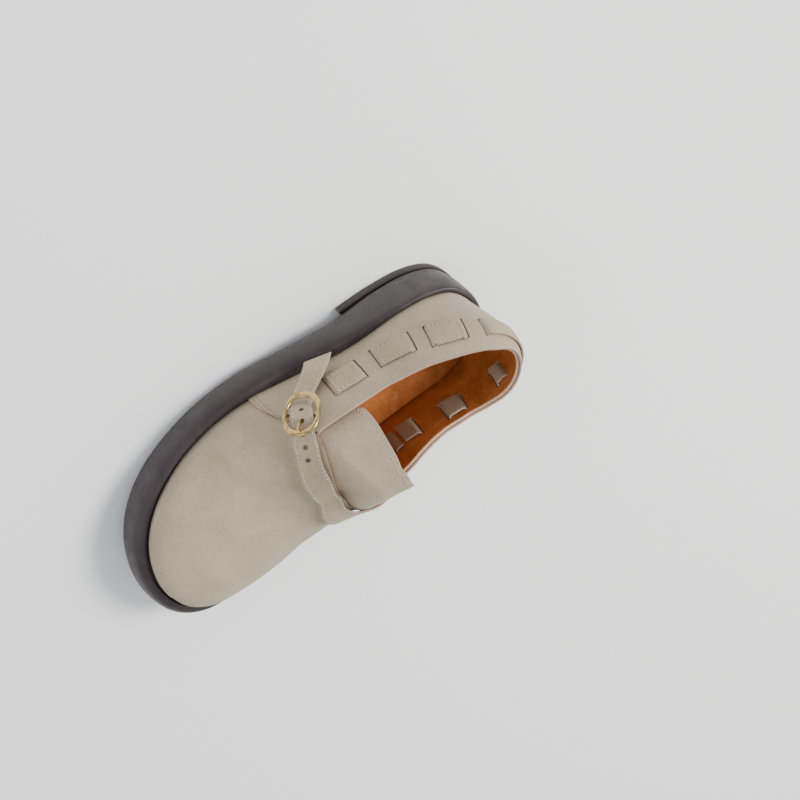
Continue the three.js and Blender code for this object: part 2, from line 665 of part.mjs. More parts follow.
function makeBuckle() {
  const [halfAlong, halfAcross] = [(buckleLength - buckleRod) / 2, (buckleWidth - buckleRod) / 2];
  const thickness = buckleRod * 0.8;
  const squareness = 0.88;
  const oval = (value) => Math.sign(value) * Math.abs(value) ** squareness;
  const turns = steps(28).slice(0, -1);
  const section = steps(8).slice(0, -1);
  const grid = turns.map((t) => {
    const turn = 2 * Math.PI * t;
    const tilt = mix(ringFrontOut, ringRearOut, (1 + Math.cos(turn)) / 2);
    return section.map((v) => {
      const round = 2 * Math.PI * v;
      const wide = (buckleRod / 2) * Math.cos(round) * (1 + 0.5 * Math.cos(turn) ** 2);
      return fromBuckle(
        (halfAlong + wide) * oval(Math.cos(turn)),
        (halfAcross + wide) * oval(Math.sin(turn)),
        tilt + (thickness / 2) * Math.sin(round),
      );
    });
  });
  const corners = [];
  grid.forEach((ring, i) => {
    const next = grid[(i + 1) % grid.length];
    ring.forEach((point, k) => {
      const l = (k + 1) % ring.length;
      addQuad(corners, point, next[k], next[l], ring[l]);
    });
  });
  const meets = (ringFrontOut + ringRearOut) / 2 - barRod / 2 + 0.4;
  const bends = halfAcross - barRod;
  const barPath = [[-halfAcross, meets], [-bends, barOut], [bends, barOut], [halfAcross, meets]];
  const bar = rodSolid(barPath.map(([across, out]) => fromBuckle(0, across, out)), barRod / 2, 10);
  return solidOfCorners(corners).add(bar);
}

// The prong starts in front of the bar, goes up through its hole in the strap and rests on the ring
function makeProng() {
  const start = -(barRod / 2 + gap + prongRod / 2);
  const strapMiddle = (place) => strapPoint(frontStrap, place, 0.5, faceOf(0, underFace(place).offset + strapWall / 2));
  const hole = strapMiddle(placeAtDistance(prongHoleAt)).sub(axes.origin);
  const [holeAlong, holeOut] = [hole.dot(axes.along), hole.dot(axes.out)];
  const ringFront = -(buckleLength - buckleRod) / 2;
  const restOut = ringFrontOut + (buckleRod * 0.8) / 2 + gap + prongRod / 2;
  const path = [
    [start, barOut - 1],
    [start - 0.9, barOut - 1],
    [holeAlong + 0.2, holeOut - 1],
    [holeAlong - 0.8, holeOut + 1],
    [holeAlong - 2.2, holeOut + 2.2],
    [ringFront, restOut],
    [ringFront - 1.2, restOut - 0.2],
  ];
  return rodSolid(path.map(([along, out]) => fromBuckle(along, 0, out)), prongRod / 2);
}

// Place along the front strap at a distance from the bar, positive towards the free end
function placeAtDistance(distance) {
  const step = Math.sign(distance) * 0.02;
  let place = barPlace;
  let walked = 0;
  while (walked < Math.abs(distance)) {
    const next = strapPoint(frontStrap, place + step, 0.5, underFace(place + step));
    walked += next.distanceTo(strapPoint(frontStrap, place, 0.5, underFace(place)));
    place += step;
  }
  return place;
}

function holeCutter(place) {
  const under = strapPoint(frontStrap, place, 0.5, underFace(place));
  const over = strapPoint(frontStrap, place, 0.5, faceOf(0, underFace(place).offset + strapWall));
  const out = over.clone().sub(under).normalize();
  const cylinder = new THREE.CylinderGeometry(strapHole / 2, strapHole / 2, 6, 10);
  cylinder.applyQuaternion(new THREE.Quaternion().setFromUnitVectors(new THREE.Vector3(0, 1, 0), out));
  cylinder.translate(...under.addScaledVector(out, strapWall / 2).toArray());
  return solidOf(cylinder);
}

function makeFrontStrap() {
  const holes = [1, 0, -1, -2, -3].map((i) => holeCutter(placeAtDistance(prongHoleAt + i * holeSpacing)));
  return holes.reduce((strap, hole) => strap.subtract(hole), strapSolid(frontStrap));
}

// Finishes
const finish = (color, roughness, metalness = 0) => new THREE.MeshStandardMaterial({ color, roughness, metalness });
const suede = finish(0xb7ab98, 0.95);
const rubber = finish(0x3a2d2e, 0.55);
const leather = finish(0xb5642a, 0.5);
const brass = finish(0x9a7b45, 0.35, 1);

function meshOf(name, solid, material) {
  const { vertProperties, triVerts } = solid.simplify(leastDetail).getMesh();
  const geometry = new THREE.BufferGeometry();
  geometry.setAttribute("position", new THREE.BufferAttribute(new Float32Array(vertProperties), 3));
  geometry.setIndex(new THREE.BufferAttribute(new Uint32Array(triVerts), 1));
  geometry.computeVertexNormals();
  const mesh = new THREE.Mesh(geometry, material);
  mesh.name = name;
  return mesh;
}

const shoe = new THREE.Group();
shoe.add(
  meshOf("sole", makeSole(), rubber),
  meshOf("heel_lift", makeHeelLift(), rubber),
  meshOf("insole", makeInsole(), leather),
  meshOf("upper", withSlots(makeUpper()), suede),
  meshOf("quarter", withSlots(makeQuarter()), suede),
  meshOf("tongue", makeTongue(), suede),
  meshOf("woven_strap", strapSolid(wovenStrap), suede),
  meshOf("front_strap", makeFrontStrap(), suede),
  meshOf("buckle", makeBuckle(), brass),
  meshOf("buckle_prong", makeProng(), brass),
);

// The origin is on the floor, under the middle of the shoe
const middle = new THREE.Box3().setFromObject(shoe).getCenter(new THREE.Vector3());
shoe.position.set(-middle.x, -middle.y, 0);

export default shoe;
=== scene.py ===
# A suede platform shoe for the right foot: puffed rubber sole, a strap woven round the heel, a wide tongue
# and a buckled strap over the instep. Shape functions work in millimetres, with the heel's back at y = 0
# and the floor at z = 0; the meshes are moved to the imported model's frame in metres.
import math

import bmesh
import bpy
import numpy as np
from mathutils import Matrix, Vector


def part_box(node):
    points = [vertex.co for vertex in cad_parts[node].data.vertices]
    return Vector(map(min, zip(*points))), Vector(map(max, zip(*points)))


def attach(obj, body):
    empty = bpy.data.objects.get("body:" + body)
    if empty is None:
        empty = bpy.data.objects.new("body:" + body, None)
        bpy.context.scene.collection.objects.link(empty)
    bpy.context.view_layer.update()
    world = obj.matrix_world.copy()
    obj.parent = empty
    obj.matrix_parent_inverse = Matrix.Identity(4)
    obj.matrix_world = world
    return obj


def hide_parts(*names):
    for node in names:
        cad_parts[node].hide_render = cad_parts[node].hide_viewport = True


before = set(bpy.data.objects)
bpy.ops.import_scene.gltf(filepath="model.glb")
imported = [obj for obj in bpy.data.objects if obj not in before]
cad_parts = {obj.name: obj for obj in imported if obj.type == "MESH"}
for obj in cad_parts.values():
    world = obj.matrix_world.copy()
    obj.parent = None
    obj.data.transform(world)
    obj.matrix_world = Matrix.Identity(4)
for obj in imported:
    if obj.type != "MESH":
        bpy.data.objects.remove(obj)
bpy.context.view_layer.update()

# Driving sizes of the last, the same as in the part's source
last_length = 252.0
last_width = 98.0
cone_height = 80.0
platform_height = 21.2
heel_rise = 14.8
toe_rise = 11.6

# Walls, and the faces of the layers, measured out from the surface of the last
gap = 0.3
upper_wall = 1.8
quarter_wall = 1.2
tongue_wall = 1.6
strap_wall = 1.2
strap_width = 18.0
upper_outer = -0.9
upper_inner = upper_outer - upper_wall
quarter_inner = upper_outer + gap
quarter_outer = quarter_inner + quarter_wall
strap_under = quarter_outer + 1.5 * gap
lining_side = upper_inner - 2 * gap
tongue_outer = upper_inner - 4.5 * gap
tongue_inner = tongue_outer - tongue_wall

# Sole and heel
sole_overhang = 10.0
sole_lip = 2.0
groove_width = 0.7
heel_lift_height = 6.4
heel_lift_length = 61.5
toe_spring = 8.0
insole_thickness = 2.6

# Buckle, and the holes of its strap
buckle_length = 27.5
buckle_width = 23.5
buckle_rod = 2.7
ring_thickness = 0.8 * buckle_rod
ring_half_length = (buckle_length - buckle_rod) / 2
ring_half_width = (buckle_width - buckle_rod) / 2
bar_rod = 2.2
prong_rod = 1.6
strap_hole = 3.0
hole_spacing = 7.5

# How far the tongue's inner edge and the front strap's free end stand up, and how far the tongue's inner
# edge wraps round past a station
tongue_lift = 8.3
strap_lift = 8.0
wrap_degrees = 8
wrap_station = 0.42
wrap_run = 0.07


def table(names, rows):
    """Named columns from rows of numbers."""
    return dict(zip(names.split(), np.array(rows, float).T))


footprint = table("at outer inner", [
    (0, 0, 0),
    (0.02, 0.153, 0.153),
    (0.07, 0.245, 0.251),
    (0.15, 0.306, 0.3),
    (0.28, 0.334, 0.288),
    (0.42, 0.41, 0.298),
    (0.55, 0.505, 0.362),
    (0.66, 0.535, 0.43),
    (0.78, 0.5, 0.466),
    (0.88, 0.408, 0.425),
    (0.95, 0.265, 0.35),
    (0.99, 0.085, 0.225),
    (1, -0.066, 0.066),
])

sections = table("at heel toe ridge ridge_at bend outer_bulge inner_bulge middle", [
    (0, 1, 0, 0.878, 0.075, 0.63, 0.036, 0.036, -0.009),
    (0.12, 0.99, 0, 0.97, 0.19, 0.64, 0.012, 0.008, -0.02),
    (0.3, 0.63, 0, 0.995, 0.347, 0.67, -0.012, -0.012, -0.036),
    (0.46, 0.17, 0, 0.955, 0.457, 0.8, 0.004, 0.038, -0.047),
    (0.6, 0.02, 0, 0.69, 0.554, 0.97, -0.006, 0.056, -0.055),
    (0.72, 0, 0.04, 0.5, 0.637, 0.94, 0.015, 0.036, -0.06),
    (0.86, 0, 0.42, 0.38, 0.733, 0.9, 0.037, 0.013, -0.067),
    (1, 0, 1, 0.25, 0.83, 0.86, 0.02, 0.01, -0.072),
])

sole_sections = table("at out bend lip heel toe", [
    (0, 0.53, 0.35, 0.4, 1, 0),
    (0.12, 0.55, 0.38, 0.4, 1, 0),
    (0.25, 0.85, 0.45, 0.5, 1, 0),
    (0.38, 1.08, 0.6, 0.7, 0.62, 0),
    (0.52, 0.95, 0.75, 0.9, 0.06, 0),
    (0.58, 0.86, 0.8, 1, 0, 0),
    (0.79, 0.8, 0.8, 1, 0, 0),
    (0.9, 0.9, 0.82, 1, 0, 0.36),
    (1, 0.97, 0.85, 1, 0, 1),
])

collar = table("at outer inner", [
    (0, 60, 60),
    (0.02, 60.3, 58),
    (0.05, 60.5, 54),
    (0.09, 53.5, 47.5),
    (0.13, 45.5, 38.5),
    (0.17, 38.5, 30.5),
    (0.21, 32.5, 26.2),
    (0.25, 28.5, 25.8),
    (0.29, 26.5, 27.4),
    (0.33, 28, 31),
    (0.36, 30.5, 35),
    (0.41, 35, 39),
    (0.455, 39.5, 41),
    (0.472, 52, 42),
    (0.494, 64.5, 43.5),
    (0.512, 73.5, 48.5),
    (0.529, 81.5, 60),
    (0.539, 86, 75),
    (0.544, 90, 90),
    (1, 90, 90),
])

quarter_front = table("up outer inner", [
    (0, 0.513, 0.495),
    (0.2, 0.51, 0.499),
    (0.4, 0.501, 0.503),
    (0.65, 0.478, 0.503),
    (0.85, 0.464, 0.494),
    (1, 0.455, 0.47),
])

tongue_rows = table("angle rear front curl", [
    (27, 0.4, 0.5, 0),
    (28.5, 0.36, 0.515, 0),
    (32.6, 0.346, 0.53, 0),
    (42, 0.345, 0.55, 0),
    (64, 0.35, 0.57, 0),
    (84, 0.354, 0.57, 0),
    (94, 0.365, 0.57, 0.23),
    (105, 0.379, 0.57, 0.73),
    (114, 0.385, 0.56, 0.98),
    (118, 0.397, 0.55, 1),
])

# Height of the tongue's curled inner edge, as shares of tongue_lift at stations towards the throat
tongue_curl = table("at share", [
    (0.36, 1),
    (0.4, 0.84),
    (0.44, 0.66),
    (0.48, 0.56),
    (0.505, 0.6),
    (0.52, 0.54),
    (0.53, 0.4),
    (0.54, 0.06),
    (0.546, -0.06),
    (1, -0.06),
])

# Stations below 0 are on the inner side
woven_rows = table("low low_angle high high_angle slot", [
    (0.412, 9, 0.414, 22, 1),
    (0.373, 6.4, 0.375, 19, 1),
    (0.304, 4.4, 0.305, 15.5, 1),
    (0.266, 4.1, 0.271, 15, 1),
    (0.191, 7.5, 0.202, 19.5, 1),
    (0.159, 10, 0.173, 25, 1),
    (0.097, 19, 0.109, 35.3, 1),
    (0.067, 25.3, 0.073, 42.3, 1),
    (0, 28.5, 0, 46.5, 0),
    (-0.09, 18, -0.093, 33.5, 1),
    (-0.118, 15.5, -0.125, 30.5, 1),
    (-0.198, 9.5, -0.205, 22, 1),
    (-0.245, 8, -0.247, 21.5, 1),
    (-0.305, 5.5, -0.307, 18, 1),
    (-0.344, 5.2, -0.344, 17.6, 0),
])

# Angles over 90 are on the inner side, and lift is a share of strap_lift
front_rows = table("low low_angle high high_angle lift slot", [
    (0.352, 174.5, 0.352, 161, 0, 0),
    (0.376, 174, 0.374, 160.5, 0, 1),
    (0.43, 160, 0.414, 146, 0, 0),
    (0.49, 145, 0.456, 134, 0, 0),
    (0.56, 131, 0.505, 124, 0, 0),
    (0.604, 119, 0.54, 113, 0, 0),
    (0.616, 106, 0.552, 101, 0, 0),
    (0.612, 92, 0.548, 88, 0, 0),
    (0.59, 76, 0.523, 74, 0, 0),
    (0.554, 60, 0.498, 58, 0, 0),
    (0.528, 48, 0.474, 46, 0, 0),
    (0.504, 36, 0.463, 39, 0.08, 0),
    (0.477, 24, 0.44, 28.2, 0.65, 0),
    (0.452, 13.2, 0.417, 17.5, 0.25, 0),
    (0.411, 5.2, 0.373, 8.3, 0.6, 0),
    (0.387, 1.5, 0.331, 1.8, 0.95, 0),
])
bar_place = 12


# Shape of the last

def unit(vectors):
    return vectors / np.linalg.norm(vectors, axis=-1, keepdims=True)


def run_length(points):
    """Distance walked along a line at each of its points."""
    return np.r_[0, np.cumsum(np.linalg.norm(np.diff(points, axis=0), axis=1))]


def column(sheet, name, share):
    """A named column at any value of the first: smooth, and never beyond the rows it lies between."""
    x, y = next(iter(sheet.values())), sheet[name]
    share = np.clip(share, x[0], x[-1])
    span = np.diff(x)
    slope = np.diff(y) / span
    tangent = np.zeros(len(x))
    tangent[0], tangent[-1] = slope[0], slope[-1]
    for i in range(1, len(x) - 1):
        if slope[i - 1] * slope[i] > 0:
            before = 2 * span[i] + span[i - 1]
            after = span[i] + 2 * span[i - 1]
            tangent[i] = (before + after) / (before / slope[i - 1] + after / slope[i])
    i = np.clip(np.searchsorted(x, share, "right") - 1, 0, len(x) - 2)
    t = (share - x[i]) / span[i]
    from_start = y[i] * (1 + 2 * t) * (1 - t) ** 2 + tangent[i] * span[i] * t * (1 - t) ** 2
    from_end = y[i + 1] * t * t * (3 - 2 * t) + tangent[i + 1] * span[i] * t * t * (t - 1)
    return from_start + from_end


def columns(sheet, names, share):
    return [column(sheet, name, share) for name in names.split()]


def closed_curve(corners, steps):
    """Points along a smooth closed curve through the corners."""
    corners = np.asarray(corners, float)
    count = len(corners)
    points = []
    for i in range(count):
        p0, p1, p2, p3 = (corners[(i + k) % count] for k in (-1, 0, 1, 2))
        d0, d1, d2 = (np.sqrt(np.linalg.norm(b - a)) for a, b in ((p0, p1), (p1, p2), (p2, p3)))
        t1 = ((p1 - p0) / d0 - (p2 - p0) / (d0 + d1) + (p2 - p1) / d1) * d1
        t2 = ((p2 - p1) / d1 - (p3 - p1) / (d1 + d2) + (p3 - p2) / d2) * d1
        for k in range(steps):
            t = k / steps
            cubic = (2 * p1 - 2 * p2 + t1 + t2) * t ** 3
            points.append(p1 + t1 * t + (-3 * p1 + 3 * p2 - 2 * t1 - t2) * t * t + cubic)
    return np.array(points)


def measured(points):
    """A half of the outline with the share of its own length at each point."""
    run = run_length(points)
    return run / run[-1], points, run[-1]


def half_outlines():
    at, outer, inner = footprint.values()
    corners = [(h * last_width, a * last_length) for a, h in zip(at, outer)]
    corners += [(-h * last_width, a * last_length) for a, h in zip(at[-2:0:-1], inner[-2:0:-1])]
    around = closed_curve(corners, 24)
    around = np.vstack([around, around[:1]])
    tip = int(np.argmax(around[:, 1]))
    return measured(around[:tip + 1]), measured(around[tip:][::-1])


outer_half, inner_half = half_outlines()
half_length = (outer_half[2] + inner_half[2]) / 2


def edge_point(side, station):
    """Points of the outline at stations from 0 at the heel to 1 at the toe. side is 1 outer, -1 inner."""
    side, station = np.broadcast_arrays(side, station)
    past = (station < 0) | (station > 1)
    side = np.where(past, -side, side)
    station = np.where(station > 1, 2 - station, np.abs(station))
    halves = [np.stack([np.interp(station, share, line) for line in points.T], -1)
              for share, points, _ in (outer_half, inner_half)]
    return np.where(side[..., None] > 0, halves[0], halves[1])


def outward(side, station):
    reach = 0.004
    step = edge_point(side, station + reach) - edge_point(side, station - reach)
    side = np.broadcast_to(side, step.shape[:-1])
    return unit(np.stack([step[..., 1] * side, -step[..., 0] * side], -1))


def along_last(side, station):
    """Share of the last's length at places of its outline."""
    return np.clip(edge_point(side, station)[..., 1] / last_length, 0, 1)


def feather_height(share):
    heel, toe = columns(sections, "heel toe", share)
    return platform_height + heel_rise * heel + toe_rise * toe


def ridge_height(share):
    return feather_height(share) + cone_height * column(sections, "ridge", share)


def ridge_length(share):
    return last_length * column(sections, "ridge_at", share)


def ridge_point(station, offset):
    """The instep line at a station, raised by an offset measured square to its slope."""
    middle_y = (edge_point(1, station)[..., 1] + edge_point(-1, station)[..., 1]) / 2
    share = np.clip(middle_y / last_length, 0, 1)
    before, after = np.clip(share - 0.001, 0, 1), np.clip(share + 0.001, 0, 1)
    slope = (ridge_height(after) - ridge_height(before)) / (ridge_length(after) - ridge_length(before))
    x = column(sections, "middle", share) * last_width
    return np.stack([x, ridge_length(share), ridge_height(share) + offset * np.hypot(1, slope)], -1)


def skin(side, station, angle, offset):
    """Points of the last's surface: angle 0 at the feather edge, 90 on the instep line, offset outwards."""
    side, station, angle, offset = np.broadcast_arrays(side, station, angle, offset)
    edge = edge_point(side, station)
    out = outward(side, station)
    share = np.clip(edge[..., 1] / last_length, 0, 1)
    top = ridge_point(station, offset)
    bend = column(sections, "bend", share)
    radians = np.radians(angle)
    away = np.where(angle >= 90, 1.0, 1 - np.abs(np.cos(radians)) ** bend)
    bulge = np.where(side > 0, *columns(sections, "outer_bulge inner_bulge", share)) * last_width
    push = 1.3 * bulge * np.sin(2 * radians) * np.cos(radians)
    foot = edge + out * offset[..., None]
    level = feather_height(share)
    flat = foot + (top[..., :2] - foot) * away[..., None] + out * push[..., None]
    height = level + (top[..., 2] - level) * np.sin(radians) ** bend
    return np.concatenate([flat, height[..., None]], -1)


def over_instep(station, angle, offset):
    """The same with an angle over 90 on the inner side."""
    side = np.where(angle > 90, -1, 1)
    return skin(side, station, np.where(angle > 90, 180 - angle, angle), offset)


def round_heel(station, angle, offset):
    """The same with a station below 0 on the inner side."""
    return skin(np.where(station < 0, -1, 1), np.abs(station), angle, offset)


def sole_out(share):
    return sole_overhang * column(sole_sections, "out", share)


def sole_top(share):
    return feather_height(share) + sole_lip * column(sole_sections, "lip", share)


def sole_under(share):
    heel, toe = columns(sole_sections, "heel toe", share)
    return (heel_lift_height + gap) * heel + toe_spring * toe


# Meshes

def mirrored_stations(count):
    """Sides and stations once round the outline, up the outer side and down the inner one."""
    station = np.linspace(0, 1, count + 1)
    side = np.r_[np.ones(count + 1), -np.ones(count)]
    return side, np.r_[station, station[-2::-1]]


def level_rings(side, station, rings):
    """Rings of points round the outline, each with its offset outwards and its height."""
    edge, out = edge_point(side, station), outward(side, station)
    grid = []
    for offset, height in rings:
        flat = edge + out * np.asarray(offset)[..., None]
        grid.append(np.c_[flat, np.broadcast_to(height, len(edge))])
    return np.stack(grid, 1)


def sole_rings(side, station):
    """The wall of the sole from its underside round to the seat of the upper, as rings of points."""
    shoulder = groove_width + 1.1
    share = along_last(side, station)
    bend, under, top = column(sole_sections, "bend", share), sole_under(share), sole_top(share)
    rings = []
    for angle in np.linspace(-90, 90, 33):
        radians = math.radians(angle)
        rise = math.copysign(abs(math.sin(radians)) ** 0.9, angle)
        lean = max(math.cos(radians), 0.0)
        out = shoulder + (sole_out(share) - shoulder) * lean ** bend
        rings.append((out, under + (top - under) * (1 + rise) / 2))
    for inset, drop in ((0.35, 0.05), (0.75, 0.25), (1.0, 0.7), (1.1, 1.3)):
        rings.append((shoulder - inset, top - drop))
    seat = feather_height(share) - gap
    return level_rings(side, station, rings + [(groove_width, seat), (-6.0, seat)])


sole_grid = sole_rings(*mirrored_stations(200))
sole_middle = (sole_grid.min((0, 1)) + sole_grid.max((0, 1))) / 2
cad_middle = np.array(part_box("sole")).mean(0) * 1000
shift = (sole_middle - cad_middle) * (1, 1, 0)


def to_scene(points):
    return (np.asarray(points, float) - shift) / 1000


def placed(name, data):
    """A new object in the scene."""
    made = bpy.data.objects.new(name, data)
    bpy.context.scene.collection.objects.link(made)
    return made


def finish_mesh(mesh, crease):
    mesh.polygons.foreach_set("use_smooth", [True] * len(mesh.polygons))
    mesh.set_sharp_from_angle(angle=math.radians(crease))
    mesh.update()


def build(name, patches, materials, crease=40):
    """One closed mesh from grids of points, each with the number of its material."""
    points, faces, numbers = [], [], []
    base = 0
    for grid, number in patches:
        n, m = grid.shape[:2]
        points.append(to_scene(grid.reshape(-1, 3)))
        i, j = np.meshgrid(np.arange(n - 1), np.arange(m - 1), indexing="ij")
        corner = base + i * m + j
        quads = np.stack([corner, corner + m, corner + m + 1, corner + 1], -1).reshape(-1, 4)
        faces.append(quads)
        numbers.append(np.full(len(quads), number))
        base += n * m
    mesh = bpy.data.meshes.new(name)
    mesh.from_pydata(np.vstack(points).tolist(), [], np.vstack(faces).tolist())
    for material in materials:
        mesh.materials.append(material)
    mesh.polygons.foreach_set("material_index", np.concatenate(numbers).astype(np.int32))
    tidy = bmesh.new()
    tidy.from_mesh(mesh)
    bmesh.ops.remove_doubles(tidy, verts=tidy.verts, dist=2e-6)
    bmesh.ops.dissolve_degenerate(tidy, dist=1e-7, edges=tidy.edges)
    bmesh.ops.recalc_face_normals(tidy, faces=tidy.faces)
    tidy.to_mesh(mesh)
    tidy.free()
    finish_mesh(mesh, crease)
    return placed(name, mesh)


def wall(outer, inner):
    """Patches of a thin wall: faces 0 and 1 are its outer and inner side, 2 its edges."""
    patches = [(outer, 0), (inner, 1)]
    for edge in ((slice(None), 0), (slice(None), -1), 0, -1):
        patches.append((np.stack([outer[edge], inner[edge]], 1), 2))
    return patches


def keep_modified(piece):
    """Makes what a piece's modifier does its own mesh."""
    evaluated = piece.evaluated_get(bpy.context.evaluated_depsgraph_get())
    mesh = bpy.data.meshes.new_from_object(evaluated)
    piece.modifiers.clear()
    old = piece.data
    piece.data = mesh
    bpy.data.meshes.remove(old)


def cut(cutter, pieces, crease):
    """Cuts one mesh out of the pieces for good."""
    for piece in pieces:
        modifier = piece.modifiers.new("cut", "BOOLEAN")
        modifier.operation = "DIFFERENCE"
        modifier.solver = "EXACT"
        modifier.object = cutter
        keep_modified(piece)
        finish_mesh(piece.data, crease)
    bpy.data.objects.remove(cutter)


# Rounding of a cut edge: distances from the edge, and how far the surface dips there. The wall is about
# wall_span high.
wall_span = 60
panel_edge = ((0.8, 0.35, 0.12, 0.0), (0.0, 0.03, 0.14, 0.36))
strap_edge = ((0.9, 0.4, 0.14, 0.0), (0.0, 0.05, 0.2, 0.42))


def rounded(span, count, both=True, edge=panel_edge):
    """Shares from 0 to 1 over a span in millimetres, with extra ones at the edges, and the dip of each."""
    room, dip = np.array(edge[0]) / span, np.array(edge[1])
    first, first_dip = (room[::-1], dip[::-1]) if both else (np.zeros(1), np.zeros(1))
    inside = np.linspace(first[-1], 1 - room[0], count + 1)[1:-1]
    return np.r_[first, inside, 1 - room], np.r_[first_dip, np.zeros(len(inside)), dip]


# Soft troughs and swells of the leather: half, station, angle, reach in stations, reach in degrees, depth
troughs = [
    (1, 0.6, 62, 0.03, 16, 0.35),
    (1, 0.655, 50, 0.035, 22, 0.3),
    (-1, 0.62, 60, 0.03, 18, 0.4),
    (-1, 0.68, 48, 0.03, 20, 0.3),
    (1, 0.56, 22, 0.03, 12, 0.3),
    (1, 0.43, 12, 0.03, 8, 0.35),
    (1, 0.345, 24, 0.02, 5, 0.3),
    (1, 0.235, 26, 0.02, 5, 0.35),
    (-1, 0.15, 20, 0.03, 8, 0.3),
    (-1, 0.27, 16, 0.03, 6, 0.3),
]


def relief(side, station, angle):
    """How far the leather sinks at a place."""
    total = np.zeros(np.broadcast(side, station, angle).shape)
    for half, at, height, along, up, depth in troughs:
        far = ((station - at) / along) ** 2 + ((angle - height) / up) ** 2
        total = total + np.where(side == half, depth * np.exp(-far), 0.0)
    return total


def leather(side, station, angle, offset):
    return skin(side, station, angle, offset - relief(side, station, angle))


# Materials

def colour(text):
    """A linear colour from an sRGB hex value."""
    values = [int(text[i:i + 2], 16) / 255 for i in (0, 2, 4)]
    return [v / 12.92 if v <= 0.04045 else ((v + 0.055) / 1.055) ** 2.4 for v in values] + [1.0]


def add(tree, kind, values=None, links=None, **settings):
    """Adds a node with its settings, values and links."""
    made = tree.nodes.new(kind)
    for name, value in settings.items():
        setattr(made, name, value)
    for socket, value in (values or {}).items():
        made.inputs[socket].default_value = value
    for socket, source in (links or {}).items():
        tree.links.new(source, made.inputs[socket])
    return made


def new_material(name, **sockets):
    """A material with one shader, and its own coordinates to hang patterns on."""
    made = bpy.data.materials.new(name)
    made.use_nodes = True
    tree = made.node_tree
    tree.nodes.clear()
    shader = add(tree, "ShaderNodeBsdfPrincipled", {k.replace("_", " "): v for k, v in sockets.items()})
    add(tree, "ShaderNodeOutputMaterial", links={"Surface": shader.outputs[0]})
    place = add(tree, "ShaderNodeTexCoord").outputs["Object"]
    return made, tree, shader, place


def cloud(tree, place, size, detail=3.0, rough=0.55, distort=0.0):
    """Noise whose patches are about size millimetres across."""
    values = {"Scale": 1000 / size, "Detail": detail, "Roughness": rough, "Distortion": distort}
    return add(tree, "ShaderNodeTexNoise", values, {"Vector": place}).outputs["Fac"]


def spread(tree, source, low, high, to_low=0.0, to_high=1.0):
    values = {"From Min": low, "From Max": high, "To Min": to_low, "To Max": to_high}
    return add(tree, "ShaderNodeMapRange", values, {"Value": source}).outputs["Result"]


def blend_colours(tree, share, first, second):
    """Mixes two colours, each a hex value or the output of another mix."""
    mix = add(tree, "ShaderNodeMix", links={0: share}, data_type="RGBA")
    for socket, value in ((6, first), (7, second)):
        if isinstance(value, str):
            mix.inputs[socket].default_value = colour(value)
        else:
            tree.links.new(value, mix.inputs[socket])
    return mix.outputs[2]


def paint(tree, shader, share, first, second):
    tree.links.new(blend_colours(tree, share, first, second), shader.inputs["Base Color"])


def bumps(tree, shader, layers):
    """Bump layers from the widest to the finest: (height, strength, depth in millimetres)."""
    normal = None
    for height, strength, depth in layers:
        links = {"Height": height}
        if normal:
            links["Normal"] = normal
        values = {"Strength": strength, "Distance": depth / 1000}
        normal = add(tree, "ShaderNodeBump", values, links).outputs["Normal"]
    tree.links.new(normal, shader.inputs["Normal"])


def make_suede(name, light, dark, deep):
    """Split leather brushed to a short nap: matt, a little cloudy where it was stroked."""
    made, tree, shader, place = new_material(
        name, Roughness=0.94, Sheen_Weight=0.22, Sheen_Roughness=0.45, Specular_IOR_Level=0.25)
    shader.inputs["Sheen Tint"].default_value = colour("E9E0D0")
    stroked = spread(tree, cloud(tree, place, 26, 4, 0.6, 0.4), 0.3, 0.72)
    patches = blend_colours(tree, stroked, dark, light)
    nap = spread(tree, cloud(tree, place, 0.55, 4, 0.7), 0.38, 0.62)
    speck = spread(tree, cloud(tree, place, 1.5, 4, 0.75), 0.48, 0.66, 0.0, 0.42)
    fine = blend_colours(tree, spread(tree, nap, 0, 1, 0.3, 0.0), patches, deep)
    paint(tree, shader, speck, fine, deep)
    pebble = cloud(tree, place, 2.4, 3, 0.6)
    bumps(tree, shader, [(pebble, 0.45, 0.3), (nap, 0.6, 0.16)])
    return made


def make_lining():
    """Full-grain lining leather, tan, polished by use: fine pores and a soft gloss."""
    made, tree, shader, place = new_material(
        "tan_lining_leather", Roughness=0.5, Specular_IOR_Level=0.4, Coat_Weight=0.06, Coat_Roughness=0.35)
    warm = spread(tree, cloud(tree, place, 30, 4, 0.6, 0.6), 0.35, 0.68)
    base = blend_colours(tree, warm, "A05A28", "CC8044")
    worn = spread(tree, cloud(tree, place, 5, 3, 0.6), 0.52, 0.72, 0.0, 0.35)
    paint(tree, shader, worn, base, "D79A66")
    pores = add(tree, "ShaderNodeTexVoronoi", {"Scale": 1000 / 0.9}, {"Vector": place}).outputs["Distance"]
    bumps(tree, shader, [(cloud(tree, place, 6, 3), 0.3, 0.3), (pores, 0.2, 0.08)])
    return made


def make_cut_edge():
    """Cut edge of suede and leather: paler and pinker than the face, with loose fibres."""
    made, tree, shader, place = new_material("cut_leather_edge", Roughness=0.9, Specular_IOR_Level=0.2)
    fibre = spread(tree, cloud(tree, place, 0.9, 3, 0.7), 0.35, 0.65)
    paint(tree, shader, fibre, "AE8B78", "DCC0AF")
    bumps(tree, shader, [(fibre, 0.4, 0.12)])
    return made


